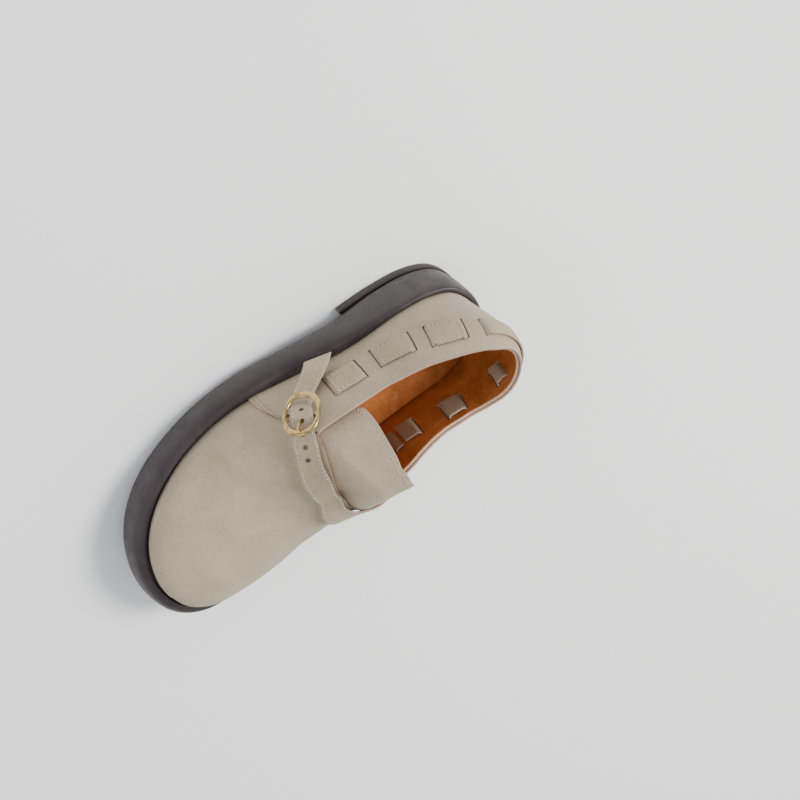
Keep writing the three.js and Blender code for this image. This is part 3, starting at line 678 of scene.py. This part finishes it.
def make_rubber(name, first, second, gloss):
    """Moulded rubber, dark aubergine brown: nearly smooth, with a soft sheen and faint mould marks."""
    made, tree, shader, place = new_material(name, Roughness=gloss, Specular_IOR_Level=0.5)
    tone = spread(tree, cloud(tree, place, 14, 4, 0.6), 0.35, 0.68)
    paint(tree, shader, tone, first, second)
    scuff = spread(tree, cloud(tree, place, 7, 4, 0.65, 0.5), 0.4, 0.72, gloss - 0.06, gloss + 0.14)
    tree.links.new(scuff, shader.inputs["Roughness"])
    bumps(tree, shader, [(cloud(tree, place, 5, 3), 0.25, 0.25), (cloud(tree, place, 0.7, 2), 0.3, 0.06)])
    return made


def make_brass():
    """Cast brass, antiqued: dark in the hollows and rubbed bright elsewhere."""
    made, tree, shader, place = new_material("antiqued_brass", Metallic=1.0, Roughness=0.3)
    patina = spread(tree, cloud(tree, place, 4.0, 4, 0.6, 0.4), 0.45, 0.75)
    paint(tree, shader, patina, "C4A772", "776338")
    tree.links.new(spread(tree, patina, 0, 1, 0.2, 0.36), shader.inputs["Roughness"])
    bumps(tree, shader, [(cloud(tree, place, 2.2, 3), 0.2, 0.08)])
    return made


def make_plain(name, roughness, specular, grain, low, high, first, second):
    """Two near tones in patches of grain millimetres."""
    made, tree, shader, place = new_material(name, Roughness=roughness, Specular_IOR_Level=specular)
    paint(tree, shader, spread(tree, cloud(tree, place, grain, 2), low, high), first, second)
    return made


suede = make_suede("brushed_suede", "BEAE97", "A79883", "8A7B68")
strap_suede = make_suede("strap_suede", "BCAC94", "A59680", "877864")
lining = make_lining()
cut_edge = make_cut_edge()
rubber = make_rubber("moulded_rubber", "21181A", "32272A", 0.5)
lift_rubber = make_rubber("heel_lift_rubber", "1F1718", "2E2426", 0.55)
brass = make_brass()
thread = make_plain("sewing_thread", 0.6, 0.35, 0.5, 0.4, 0.6, "B9AE99", "D6CCB9")
# Painted shade: dark blobs stand for the shadow inside each needle hole
needle_hole_painted_shade = make_plain("needle_hole_shade", 1.0, 0.0, 1.0, 0, 1, "4A4034", "6B5F50")


# Sole, heel lift and insole

def paired_cap(ring):
    """A flat end over a ring, as strips from each outer point to its partner on the inner side."""
    half = (len(ring) + 1) // 2
    outer, inner = ring[:half], ring[::-1][:half]
    across = np.linspace(0, 1, 9)[None, :, None]
    return outer[:, None] + (inner - outer)[:, None] * across


def ring_patches(grid, number=0):
    """The sides and both ends of a solid made of rings."""
    return [(grid, number), (paired_cap(grid[:, 0]), number), (paired_cap(grid[:, -1]), number)]


sole = build("sole_unit", ring_patches(sole_grid), [rubber], 60)


def sole_edge(side, station, inset=0.0):
    """Points of the sole's widest outline, or inset from it."""
    out = sole_out(along_last(side, station)) - inset
    return edge_point(side, station) + outward(side, station) * out[..., None]


def heel_lift_rings():
    """The lift follows the sole from the heel's back to a straight front."""
    flush, chamfer = 0.12, 0.8

    def front_station(side):
        low, high = 0.0, 0.5
        for _ in range(40):
            middle = (low + high) / 2
            short = sole_edge(side, middle)[1] < heel_lift_length
            low, high = (middle, high) if short else (low, middle)
        return low

    def outline(inset, height):
        halves = []
        for side in (1, -1):
            flat = sole_edge(side, front_station(side) * np.linspace(0, 1, 61), inset)
            flat[-1, 1] = heel_lift_length
            halves.append(np.c_[flat, np.full(len(flat), height)])
        return np.vstack([halves[0], halves[1][::-1]])

    levels = [(flush + chamfer, 0), (flush + 0.25, 0.2), (flush, chamfer), (flush, heel_lift_height - 0.5),
              (flush + 0.35, heel_lift_height)]
    return np.stack([outline(inset, height) for inset, height in levels], 1)


heel_lift = build("heel_top_piece", ring_patches(heel_lift_rings()), [lift_rubber], 35)


def insole_rings():
    side, station = mirrored_stations(120)
    low = feather_height(along_last(side, station))
    rings = [(lining_side - gap, low)]
    for inset, up in ((0.0, 0.5), (0.1, 0.75), (0.5, 0.93), (1.2, 1.0), (5.0, 0.97), (10.0, 0.92)):
        rings.append((lining_side - inset, low + insole_thickness * up))
    return level_rings(side, station, rings)


insole = build("insole_board_and_cover", ring_patches(insole_rings()), [lining], 60)


# Vamp with its lining, and the quarter over it

def upper_grids():
    side, station = mirrored_stations(190)
    up, dip = rounded(wall_span, 46, both=False)
    top = np.where(side > 0, *columns(collar, "outer inner", station))
    free = np.clip((90 - top) / 6, 0, 1)[:, None]
    angle = top[:, None] * up
    place = (side[:, None], station[:, None], angle)
    return leather(*place, upper_outer - dip * free), leather(*place, upper_inner + dip * free)


def layer_patches(outer, inner):
    """The two faces and the edges. Past the throat the halves meet on the instep, with no edge there."""
    patches = [(outer, 0), (inner, 1), (np.stack([outer[:, 0], inner[:, 0]], 1), 2)]
    station = mirrored_stations(190)[1]
    throat = collar["at"][-2]
    for i in np.flatnonzero(np.minimum(station[:-1], station[1:]) < throat):
        patches.append((np.stack([outer[i:i + 2, -1], inner[i:i + 2, -1]], 1), 2))
    return patches


layers = [suede, lining, cut_edge]
upper = build("vamp_and_lining", layer_patches(*upper_grids()), layers, 45)


def quarter_grids():
    up, dip = rounded(wall_span, 46, both=False)
    along, front_dip = rounded(44, 40, both=False)
    back_end = 0.36
    back = np.linspace(0, back_end, 80)
    halves = []
    for side, name in ((-1, "inner"), (1, "outer")):
        front = column(quarter_front, name, up)
        station = np.concatenate([
            np.repeat(back[:, None], len(up), 1),
            back_end + (front - back_end) * along[1:, None],
        ])
        dips = np.maximum(np.r_[np.zeros(len(back)), front_dip[1:]][:, None], dip)
        top = column(collar, name, station[:, -1])
        angle = top[:, None] * up
        place = (side, station, angle)
        halves.append((leather(*place, quarter_outer - dips), leather(*place, quarter_inner + dips * 0.3)))
    return [np.concatenate([inner[::-1], outer[1:]]) for inner, outer in zip(*halves)]


quarter = build("quarter_overlay", wall(*quarter_grids()), layers, 45)


# Tongue, with its inner edge curled up

def tongue_raised(station, angle):
    share = column(tongue_rows, "curl", angle) * column(tongue_curl, "share", station)
    return tongue_lift * share


def tongue_angle(share):
    first, last = tongue_rows["angle"][[0, -1]]
    return first + (last - first) * share


def tongue_grids():
    along, rear_dip = rounded(52, 44)
    across, edge_dip = rounded(110, 90)
    angle = tongue_angle(across)[:, None]
    rear, front = columns(tongue_rows, "rear front", angle)
    station = rear + (front - rear) * along
    dips = np.maximum(edge_dip[:, None], rear_dip)
    inner_side = np.clip((angle - 90) / (tongue_rows["angle"][-1] - 90), 0, 1)
    angle = angle + wrap_degrees * np.clip((station - wrap_station) / wrap_run, 0, 1) * inner_side
    curl = tongue_raised(station, angle)
    swell = 0.4 * np.sin(np.radians(angle - 28) * 3) * np.clip(1 - along / 0.6, 0, 1)
    return [over_instep(station, angle, offset + curl + swell)
            for offset in (tongue_outer - dips, tongue_inner + dips * 0.5)]


tongue = build("tongue_flap", wall(*tongue_grids()), layers, 45)


# Straps

def new_strap(rows, surface, forward):
    """A strap's rows with their places, the surface it lies on, and the way it runs along the stations."""
    places = np.arange(len(rows["low"]), dtype=float)
    return {"rows": {"place": places, **rows}, "surface": surface, "forward": forward}


def strap_point(strap, place, across, ahead, offset):
    """A point of a strap: place along its rows, share across it, millimetres ahead, offset outwards."""
    low, high, low_angle, high_angle = columns(strap["rows"], "low high low_angle high_angle", place)
    station = low + (high - low) * across + strap["forward"] * ahead / half_length
    return strap["surface"](station, low_angle + (high_angle - low_angle) * across, offset)


woven_strap = new_strap(woven_rows, round_heel, -1)
front_strap = new_strap(front_rows, over_instep, 1)
outside_offset = strap_under + strap_wall / 2
inside_offset = lining_side - strap_wall / 2

# How a strap goes down through a slot: millimetres ahead of the slot's middle, share of the way down
slot_dive = [(-2.5, 0.0), (-1.7, 0.015), (-1.05, 0.1), (-0.6, 0.24), (-0.25, 0.4),
             (0.25, 0.6), (0.6, 0.76), (1.05, 0.9), (1.7, 0.985), (2.5, 1.0)]
dive_room = 3.2
course_step = 1.3


def strap_course(strap, outside, offset_at):
    """The middle line of a strap, as rows of (place, ahead, offset, distance run, outside or not)."""
    slot = strap["rows"]["slot"]
    runs = run_length(strap_point(strap, np.arange(len(slot)), 0.5, 0.0, 0.0))
    course = []
    for i in range(len(slot)):
        if i:
            length = runs[i] - runs[i - 1]
            start = dive_room / length if slot[i - 1] else 0.0
            end = 1 - dive_room / length if slot[i] else 1.0
            steps = np.linspace(start, end, max(3, round(length * (end - start) / course_step)) + 1)
            for t in steps[(steps > 0) & (steps < 1)]:
                place = i - 1 + t
                course.append((place, 0.0, offset_at(place, outside), runs[i - 1] + t * length, outside))
        if slot[i]:
            above, below = offset_at(i, outside), offset_at(i, not outside)
            for ahead, share in slot_dive:
                level = above + (below - above) * share
                course.append((i, ahead, level, runs[i] + ahead, outside == (share < 0.5)))
            outside = not outside
        elif i in (0, len(slot) - 1):
            course.append((i, 0.0, offset_at(i, outside), runs[i], outside))
    return np.array(course, float)


def strap_faces(strap, course, thickness):
    """The two faces of a strap along a course, with softly rounded edges."""
    place, ahead, offset, run, _ = course.T
    d_run, d_offset = np.gradient(run), np.gradient(offset)
    length = np.hypot(d_run, d_offset)
    aside, up = (-d_offset / length)[:, None], (d_run / length)[:, None]
    share, dip = rounded(strap_width, 12, edge=strap_edge)
    faces = []
    for sign in (1, -1):
        half = sign * (thickness / 2 - dip)
        moved = ahead[:, None] + aside * half
        faces.append(strap_point(strap, place[:, None], share, moved, offset[:, None] + up * half))
    return faces


strap_layers = [strap_suede, strap_suede, cut_edge]


def build_strap(name, strap, course, thickness=strap_wall):
    return build(name, wall(*strap_faces(strap, course, thickness)), strap_layers, 50)


woven_marks = np.flatnonzero(woven_rows["slot"] == 1)


def woven_offset(place, outside):
    """Each piece of the woven strap that lies outside swells a little between its slots."""
    if not outside:
        return inside_offset
    before, after = woven_marks[woven_marks <= place], woven_marks[woven_marks >= place]
    if not len(before) or not len(after) or before[-1] == after[0]:
        return outside_offset
    share = (place - before[-1]) / (after[0] - before[-1])
    return outside_offset - 0.25 + 0.3 * math.sin(math.pi * share) ** 0.6


def front_offset(place, outside):
    lift = strap_lift * column(front_strap["rows"], "lift", place)
    return outside_offset + lift if outside else inside_offset


def slot_cutters():
    """Cutters for every slot, in one mesh."""
    half = strap_wall / 2 + 0.4
    patches = []
    for strap in (woven_strap, front_strap):
        rows = strap["rows"]
        for i in np.flatnonzero(rows["slot"]):
            beyond = 0.5 * np.sign(rows["high_angle"][i] - rows["low_angle"][i])
            angle = np.linspace(rows["low_angle"][i] - beyond, rows["high_angle"][i] + beyond, 15)
            station = np.linspace(rows["low"][i], rows["high"][i], 15)
            grids = [np.stack([strap["surface"](station + ahead / half_length, angle, offset)
                               for offset in np.linspace(4, -7, 8)], 1) for ahead in (-half, half)]
            patches += [(grid, 2) for grid, _ in wall(*grids)]
    return build("slot_cutters", patches, layers)


cut(slot_cutters(), [upper, quarter], 40)

woven_course = strap_course(woven_strap, True, woven_offset)
woven = build_strap("woven_strap_band", woven_strap, woven_course)
front_course = strap_course(front_strap, False, front_offset)
front = build_strap("buckled_strap_band", front_strap, front_course)


# Buckle

def front_point(place, offset=0.0, across=0.5):
    return strap_point(front_strap, place, across, 0.0, offset)


def on_strap(place, up=0.0):
    """The middle line of the front strap where it lies outside, raised."""
    return front_point(place, front_offset(place, True) + up)


def buckle_axes():
    """Where the buckle is measured from, and its ways along the strap, across it and out from the foot."""
    across = unit(front_point(bar_place, across=1.0) - front_point(bar_place, across=0.0))
    along = front_point(bar_place + 0.8) - front_point(bar_place - 0.8)
    along = unit(along - across * along.dot(across))
    out = np.cross(along, across)
    out = out if out[0] > 0 else -out
    lift = front_offset(bar_place, True) - strap_wall / 2
    return front_point(bar_place, lift) - out * lift, along, across, out


buckle_origin, buckle_along, buckle_across, buckle_out = buckle_axes()


def from_buckle(along, across, out):
    parts = zip((along, across, out), (buckle_along, buckle_across, buckle_out))
    return buckle_origin + sum(value[..., None] * axis for value, axis in parts)


bar_out = strap_under + strap_wall + gap + bar_rod / 2
prong_hole_at = -4.8
ring_front_out = 5.3
ring_rear_out = 7.6


def full_turn(steps):
    return np.linspace(0, 2 * np.pi, steps + 1)


def ring_grid():
    """The ring: a round-cornered loop of cast rod, a little flattened and tilted, higher at its rear than
    its front.
    """
    squareness = 0.88
    turn, section = full_turn(96)[:, None], full_turn(24)
    wide = buckle_rod / 2 * np.cos(section) * (1 + 0.5 * np.cos(turn) ** 2)
    oval = [np.sign(value) * np.abs(value) ** squareness for value in (np.cos(turn), np.sin(turn))]
    tilt = ring_front_out + (ring_rear_out - ring_front_out) * (1 + np.cos(turn)) / 2
    thick = ring_thickness / 2 * np.sin(section)
    along, across = (ring_half_length + wide) * oval[0], (ring_half_width + wide) * oval[1]
    return from_buckle(along, across, tilt + thick)


def build_rod(name, path, radii, up, crease):
    """A round rod of brass along a path, with a radius at each point, nearly 0 at its ends."""
    forward = unit(np.gradient(path, axis=0))
    aside = unit(np.cross(forward, up))
    rise = np.cross(aside, forward)
    turn = full_turn(16)[None, :, None]
    circle = aside[:, None] * np.cos(turn) + rise[:, None] * np.sin(turn)
    return build(name, [(path[:, None] + radii[:, None, None] * circle, 0)], [brass], crease)


def smooth_path(corners, count=40):
    """A smooth path of points through a few corners."""
    corners = np.array(corners, float)
    run = run_length(corners)
    at = np.linspace(0, run[-1], count)
    return np.stack([column({"run": run, "value": value}, "value", at) for value in corners.T], -1)


def round_ended(path, radius, end):
    """Radii for a rod whose ends are rounded over a few of its points."""
    count = len(path)
    share = np.minimum(np.arange(count), np.arange(count)[::-1]) / end
    return radius * np.sqrt(np.clip(1 - (1 - np.clip(share, 0, 1)) ** 2, 0.0004, 1))


bar_meets = (ring_front_out + ring_rear_out) / 2 - bar_rod / 2 + 0.4
bar_bends = ring_half_width - bar_rod
bar_half = [(bar_bends, bar_out), (ring_half_width, bar_meets)]
bar_path = smooth_path([(-across, out) for across, out in bar_half[::-1]] + bar_half)
bar_line = from_buckle(np.zeros(len(bar_path)), *bar_path.T)
buckle = build("buckle_ring", [(ring_grid(), 0)], [brass], 50)
bar = build_rod("buckle_bar", bar_line, round_ended(bar_line, bar_rod / 2, 1), buckle_out, 50)


def place_at_distance(distance):
    """Place along the front strap at a distance from the bar, positive towards the free end."""
    step = math.copysign(0.01, distance)
    place, walked = float(bar_place), 0.0
    while walked < abs(distance):
        ahead, here = (on_strap(at, -strap_wall / 2) for at in (place + step, place))
        walked += np.linalg.norm(ahead - here)
        place += step
    return place


def prong_path():
    place = place_at_distance(prong_hole_at)
    hole = on_strap(place) - buckle_origin
    hole_along, hole_out = hole.dot(buckle_along), hole.dot(buckle_out)
    ring_front = -ring_half_length
    rest = ring_front_out + ring_thickness / 2 + prong_rod / 2
    eye = bar_rod / 2 + 0.45
    turn = np.radians([150, 90, 30, -30, -90, -140])
    points = [(eye * math.cos(t), bar_out + eye * math.sin(t)) for t in turn] + [
        (hole_along + 0.9, hole_out - 1.3),
        (hole_along - 0.3, hole_out + 0.6),
        (hole_along - 2.2, hole_out + 2.0),
        (ring_front + 1.6, rest + 0.35),
        (ring_front, rest),
        (ring_front - 1.3, rest - 0.5),
    ]
    path = smooth_path(points, 70)
    return from_buckle(path[:, 0], np.zeros(len(path)), path[:, 1])


prong_line = prong_path()
prong_share = np.linspace(0, 1, len(prong_line))
prong_taper = np.interp(prong_share, [0, 0.4, 0.5, 1], [0.4, 0.5, 0.95, 0.85])
prong_radii = prong_taper * round_ended(prong_line, 1, 4)
prong = build_rod("buckle_tongue_pin", prong_line, prong_radii, buckle_across, 60)


# Holes of the front strap

def hole_cutters():
    patches = []
    turn = full_turn(24)
    for step in (1, 0, -1, -2, -3):
        place = place_at_distance(prong_hole_at + step * hole_spacing)
        middle = on_strap(place)
        out = unit(on_strap(place, 1) - middle)
        along = unit(np.cross(out, buckle_across))
        across = np.cross(out, along)
        radius = np.array([0.0001, strap_hole / 2, strap_hole / 2, 0.0001])[:, None, None]
        level = np.array([-2, -2, 2, 2])[:, None, None]
        ring = along * np.cos(turn)[:, None] + across * np.sin(turn)[:, None]
        patches.append((middle + level * out + radius * ring, 2))
    return build("hole_cutters", patches, strap_layers)


cut(hole_cutters(), [front], 50)


# The woven strap's last end, from its slot to the bar of the buckle

tab_rows = table("low low_angle high high_angle slot", [
    (0.374, 7, 0.377, 20, 0),
    (0.412, 9, 0.414, 22, 1),
    (0.432, 15, 0.424, 24.8, 0),
    (0.453, 20, 0.433, 26.8, 0),
    (0.474, 25.2, 0.446, 30.2, 0),
])
tab_strap = new_strap(tab_rows, round_heel, 1)


def tab_offset(place, outside):
    return outside_offset if outside else inside_offset - strap_wall - 0.15


tab = build_strap("bar_tab", tab_strap, strap_course(tab_strap, False, tab_offset), 1.0)


# Sewing

radii_names = ("Half Length", "Half Width", "Half Height")


def repeat_tree():
    """Repeats one small rounded form along lines, turned to the line and to the surface it lies on."""
    tree = bpy.data.node_groups.new("stitches_along_lines", "GeometryNodeTree")
    sockets = [("Lines", "Geometry")] + [(name, "Float") for name in ("Spacing",) + radii_names]
    for name, kind in sockets + [("Seed", "Int"), ("Material", "Material")]:
        tree.interface.new_socket(name, in_out="INPUT", socket_type="NodeSocket" + kind)
    tree.interface.new_socket("Mesh", in_out="OUTPUT", socket_type="NodeSocketGeometry")
    given = add(tree, "NodeGroupInput").outputs

    def step(kind, out, links=None, values=None, **settings):
        return add(tree, kind, values, links, **settings).outputs[out]

    curve = step("GeometryNodeMeshToCurve", "Curve", {"Mesh": given["Lines"]})
    links = {"Curve": curve, "Length": given["Spacing"]}
    spots = add(tree, "GeometryNodeCurveToPoints", links=links, mode="LENGTH").outputs
    vector = {"data_type": "FLOAT_VECTOR"}
    out = step("GeometryNodeInputNamedAttribute", "Attribute", None, {"Name": "out"}, **vector)
    align = "FunctionNodeAlignRotationToVector"
    turned = step(align, "Rotation", {"Vector": out}, axis="Z")
    links = {"Rotation": turned, "Vector": spots["Tangent"]}
    turned = step(align, "Rotation", links, axis="X", pivot_axis="Z")
    form = step("GeometryNodeMeshUVSphere", "Mesh", None, {"Segments": 8, "Rings": 6, "Radius": 1.0})
    scale = step("ShaderNodeCombineXYZ", 0, dict(zip("XYZ", (given[name] for name in radii_names))))
    sizes = {"Min": (0.88,) * 3, "Max": (1.12,) * 3}
    loose = step("FunctionNodeRandomValue", "Value", {"Seed": given["Seed"]}, sizes, **vector)
    scale = step("ShaderNodeVectorMath", 0, {0: scale, 1: loose}, operation="MULTIPLY")
    links = {"Points": spots["Points"], "Instance": form, "Rotation": turned, "Scale": scale}
    mesh = step("GeometryNodeInstanceOnPoints", "Instances", links)
    mesh = step("GeometryNodeRealizeInstances", "Geometry", {"Geometry": mesh})
    mesh = step("GeometryNodeSetShadeSmooth", "Geometry", {"Geometry": mesh})
    mesh = step("GeometryNodeSetMaterial", "Geometry", {"Geometry": mesh, "Material": given["Material"]})
    add(tree, "NodeGroupOutput", links={"Mesh": mesh})
    return tree


stitch_forms = repeat_tree()


def sewn(name, lines, spacing, sizes, material, seed):
    """Stitches, or dark blobs of painted needle-hole shade, along each line, as one plain mesh. A line has
    points and outward ones.
    """
    points, outs, edges = [], [], []
    for line, out in lines:
        base = sum(len(p) for p in points)
        points.append(to_scene(line))
        outs.append(out)
        edges += [(base + i, base + i + 1) for i in range(len(line) - 1)]
    mesh = bpy.data.meshes.new(name)
    mesh.from_pydata(np.vstack(points).tolist(), edges, [])
    mesh.attributes.new("out", "FLOAT_VECTOR", "POINT").data.foreach_set("vector", np.vstack(outs).ravel())
    holder = placed(name, mesh)
    modifier = holder.modifiers.new("sewing", "NODES")
    modifier.node_group = stitch_forms
    values = {"Spacing": spacing / 1000, "Seed": seed, "Material": material}
    values.update(zip(radii_names, (size / 1000 for size in sizes)))
    for socket in stitch_forms.interface.items_tree:
        if socket.name in values:
            modifier[socket.identifier] = values[socket.name]
    keep_modified(holder)
    return holder


def seam_line(surface, place, offset):
    """A line on a surface with its outward direction at each point."""
    on, over = (surface(*place, offset + up) for up in (0.0, 1.0))
    return on, unit(over - on)


def strap_seams(strap, course):
    """The stitch rows near both edges of every outside run of a strap, off the slots."""
    lines = []
    changes = np.diff(np.r_[0, course[:, 4], 0])
    inset = 2.0 / strap_width
    for first, last in zip(np.flatnonzero(changes == 1), np.flatnonzero(changes == -1)):
        run = course[first:last]
        run = run[run[:, 2] > outside_offset - 0.35][2:-2]
        if len(run) < 4:
            continue
        place, ahead, middle = run[:, :3].T
        face = middle + strap_wall / 2 + 0.03
        for across in (inset, 1 - inset):
            lines.append(seam_line(strap_point, (strap, place, across, ahead), face))
    return lines


def later(line, lead):
    """The same line without its first lead millimetres."""
    run = run_length(line[0])
    at = np.r_[lead, run[run > lead]]
    return [np.stack([np.interp(at, run, row) for row in value.T], -1) for value in line]


stitch_spacing = 2.6


def stitched(name, lines, stitch, hole, seed):
    """Stitches along each line, and a dark blob of painted shade for a needle hole between each two. stitch
    and hole are half sizes.
    """
    between = [later(line, stitch_spacing / 2) for line in lines]
    return (sewn(name + "_stitches", lines, stitch_spacing, stitch, thread, seed),
            sewn(name + "_needle_hole_shades", between, stitch_spacing, hole, needle_hole_painted_shade, seed + 1))


strap_lines = strap_seams(woven_strap, woven_course) + strap_seams(front_strap, front_course)
strap_stitches, strap_holes = stitched("strap", strap_lines, (0.95, 0.3, 0.22), (0.4, 0.36, 0.14), 3)


def quarter_seams():
    """Two rows of needle holes, shown as dark blobs of painted shade, behind the front edge of the quarter,
    on both sides.
    """
    lines = []
    for side, name, ends in ((1, "outer", 0.62), (-1, "inner", 0.75)):
        up = np.linspace(0.03, ends, 100)
        sides = np.full(len(up), side)
        front = column(quarter_front, name, up)
        for inset in (2.0, 4.5):
            station = front - inset / half_length
            angle = column(collar, name, station) * up
            lines.append(seam_line(leather, (sides, station, angle), quarter_outer))
    return lines


quarter_holes = sewn("quarter_needle_hole_shades", quarter_seams(), 2.2, (0.42, 0.34, 0.14), needle_hole_painted_shade, 5)


def tongue_seam():
    angle = tongue_angle(np.linspace(0.04, 0.96, 160))
    rear = column(tongue_rows, "rear", angle) + 4.0 / half_length
    return seam_line(over_instep, (rear, angle), tongue_outer + tongue_raised(rear, angle) + 0.15)


tongue_stitches, tongue_holes = stitched("tongue", [tongue_seam()], (0.95, 0.28, 0.2), (0.4, 0.34, 0.14), 7)


# What stands for each solid

stands_for = [
    (sole, ["sole"], "sole_rubber"),
    (heel_lift, ["heel_lift"], "sole_rubber"),
    (insole, ["insole"], "lining_leather"),
    (upper, ["upper"], "suede"),
    (quarter, ["quarter"], "suede"),
    (tongue, ["tongue"], "suede"),
    (woven, ["woven_strap"], "suede"),
    (front, ["front_strap"], "suede"),
    (buckle, ["buckle"], "buckle_brass"),
    (prong, ["buckle_prong"], "buckle_brass"),
    (bar, [], "buckle_brass"),
]
for piece in (tab, strap_stitches, quarter_holes, tongue_stitches, strap_holes, tongue_holes):
    stands_for.append((piece, [], "suede"))
for piece, nodes, slot in stands_for:
    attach(piece, "root")
    if nodes:
        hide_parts(*nodes)


# Floor, light and camera

floor_reach = 6.0
floor_mesh = bpy.data.meshes.new("studio_floor")
floor_corners = [(x * floor_reach, y * floor_reach, 0) for x, y in ((-1, -1), (1, -1), (1, 1), (-1, 1))]
floor_mesh.from_pydata(floor_corners, [], [(0, 1, 2, 3)])
floor_mesh.materials.append(make_plain("studio_paper", 0.9, 0.2, 900, 0, 1, "F8F9FA", "FBFCFD"))
floor = placed("studio_floor", floor_mesh)


def area_light(name, at, size, power, tint):
    """A round soft light, in watts, that looks at the shoe."""
    lamp = bpy.data.lights.new(name, "AREA")
    lamp.shape = "DISK"
    lamp.size = size
    lamp.energy = power
    lamp.color = colour(tint)[:3]
    holder = placed(name, lamp)
    holder.location = at
    holder.rotation_euler = (-Vector(at)).to_track_quat("-Z", "Y").to_euler()


area_light("key_softbox", (-0.2, -1.5, 1.9), 1.1, 78, "FFFAF4")
area_light("fill_softbox", (1.2, 1.3, 1.2), 1.6, 8, "F6F8FF")

world = bpy.data.worlds.new("studio")
world.use_nodes = True
background = world.node_tree.nodes["Background"].inputs
background["Color"].default_value = colour("EDEFF2")
background["Strength"].default_value = 0.9
bpy.context.scene.world = world

# The camera's place and axes were fitted to the photograph with the part's own solids
camera_place = to_scene((660.9, 109.6, 913.6))
camera_right = Vector((-0.5215, -0.7333, 0.4362)).normalized()
camera_forward = Vector((-0.6112, -0.0356, -0.7907))
camera_forward = (camera_forward - camera_right * camera_forward.dot(camera_right)).normalized()
camera_up = camera_right.cross(camera_forward)
lens = bpy.data.cameras.new("photo_camera")
lens.lens = 82.43
lens.sensor_width = 36
lens.clip_end = 20
camera = placed("photo_camera", lens)
turn = Matrix((camera_right, camera_up, -camera_forward)).transposed().to_4x4()
camera.matrix_world = Matrix.Translation(Vector(camera_place)) @ turn
bpy.context.scene.camera = camera
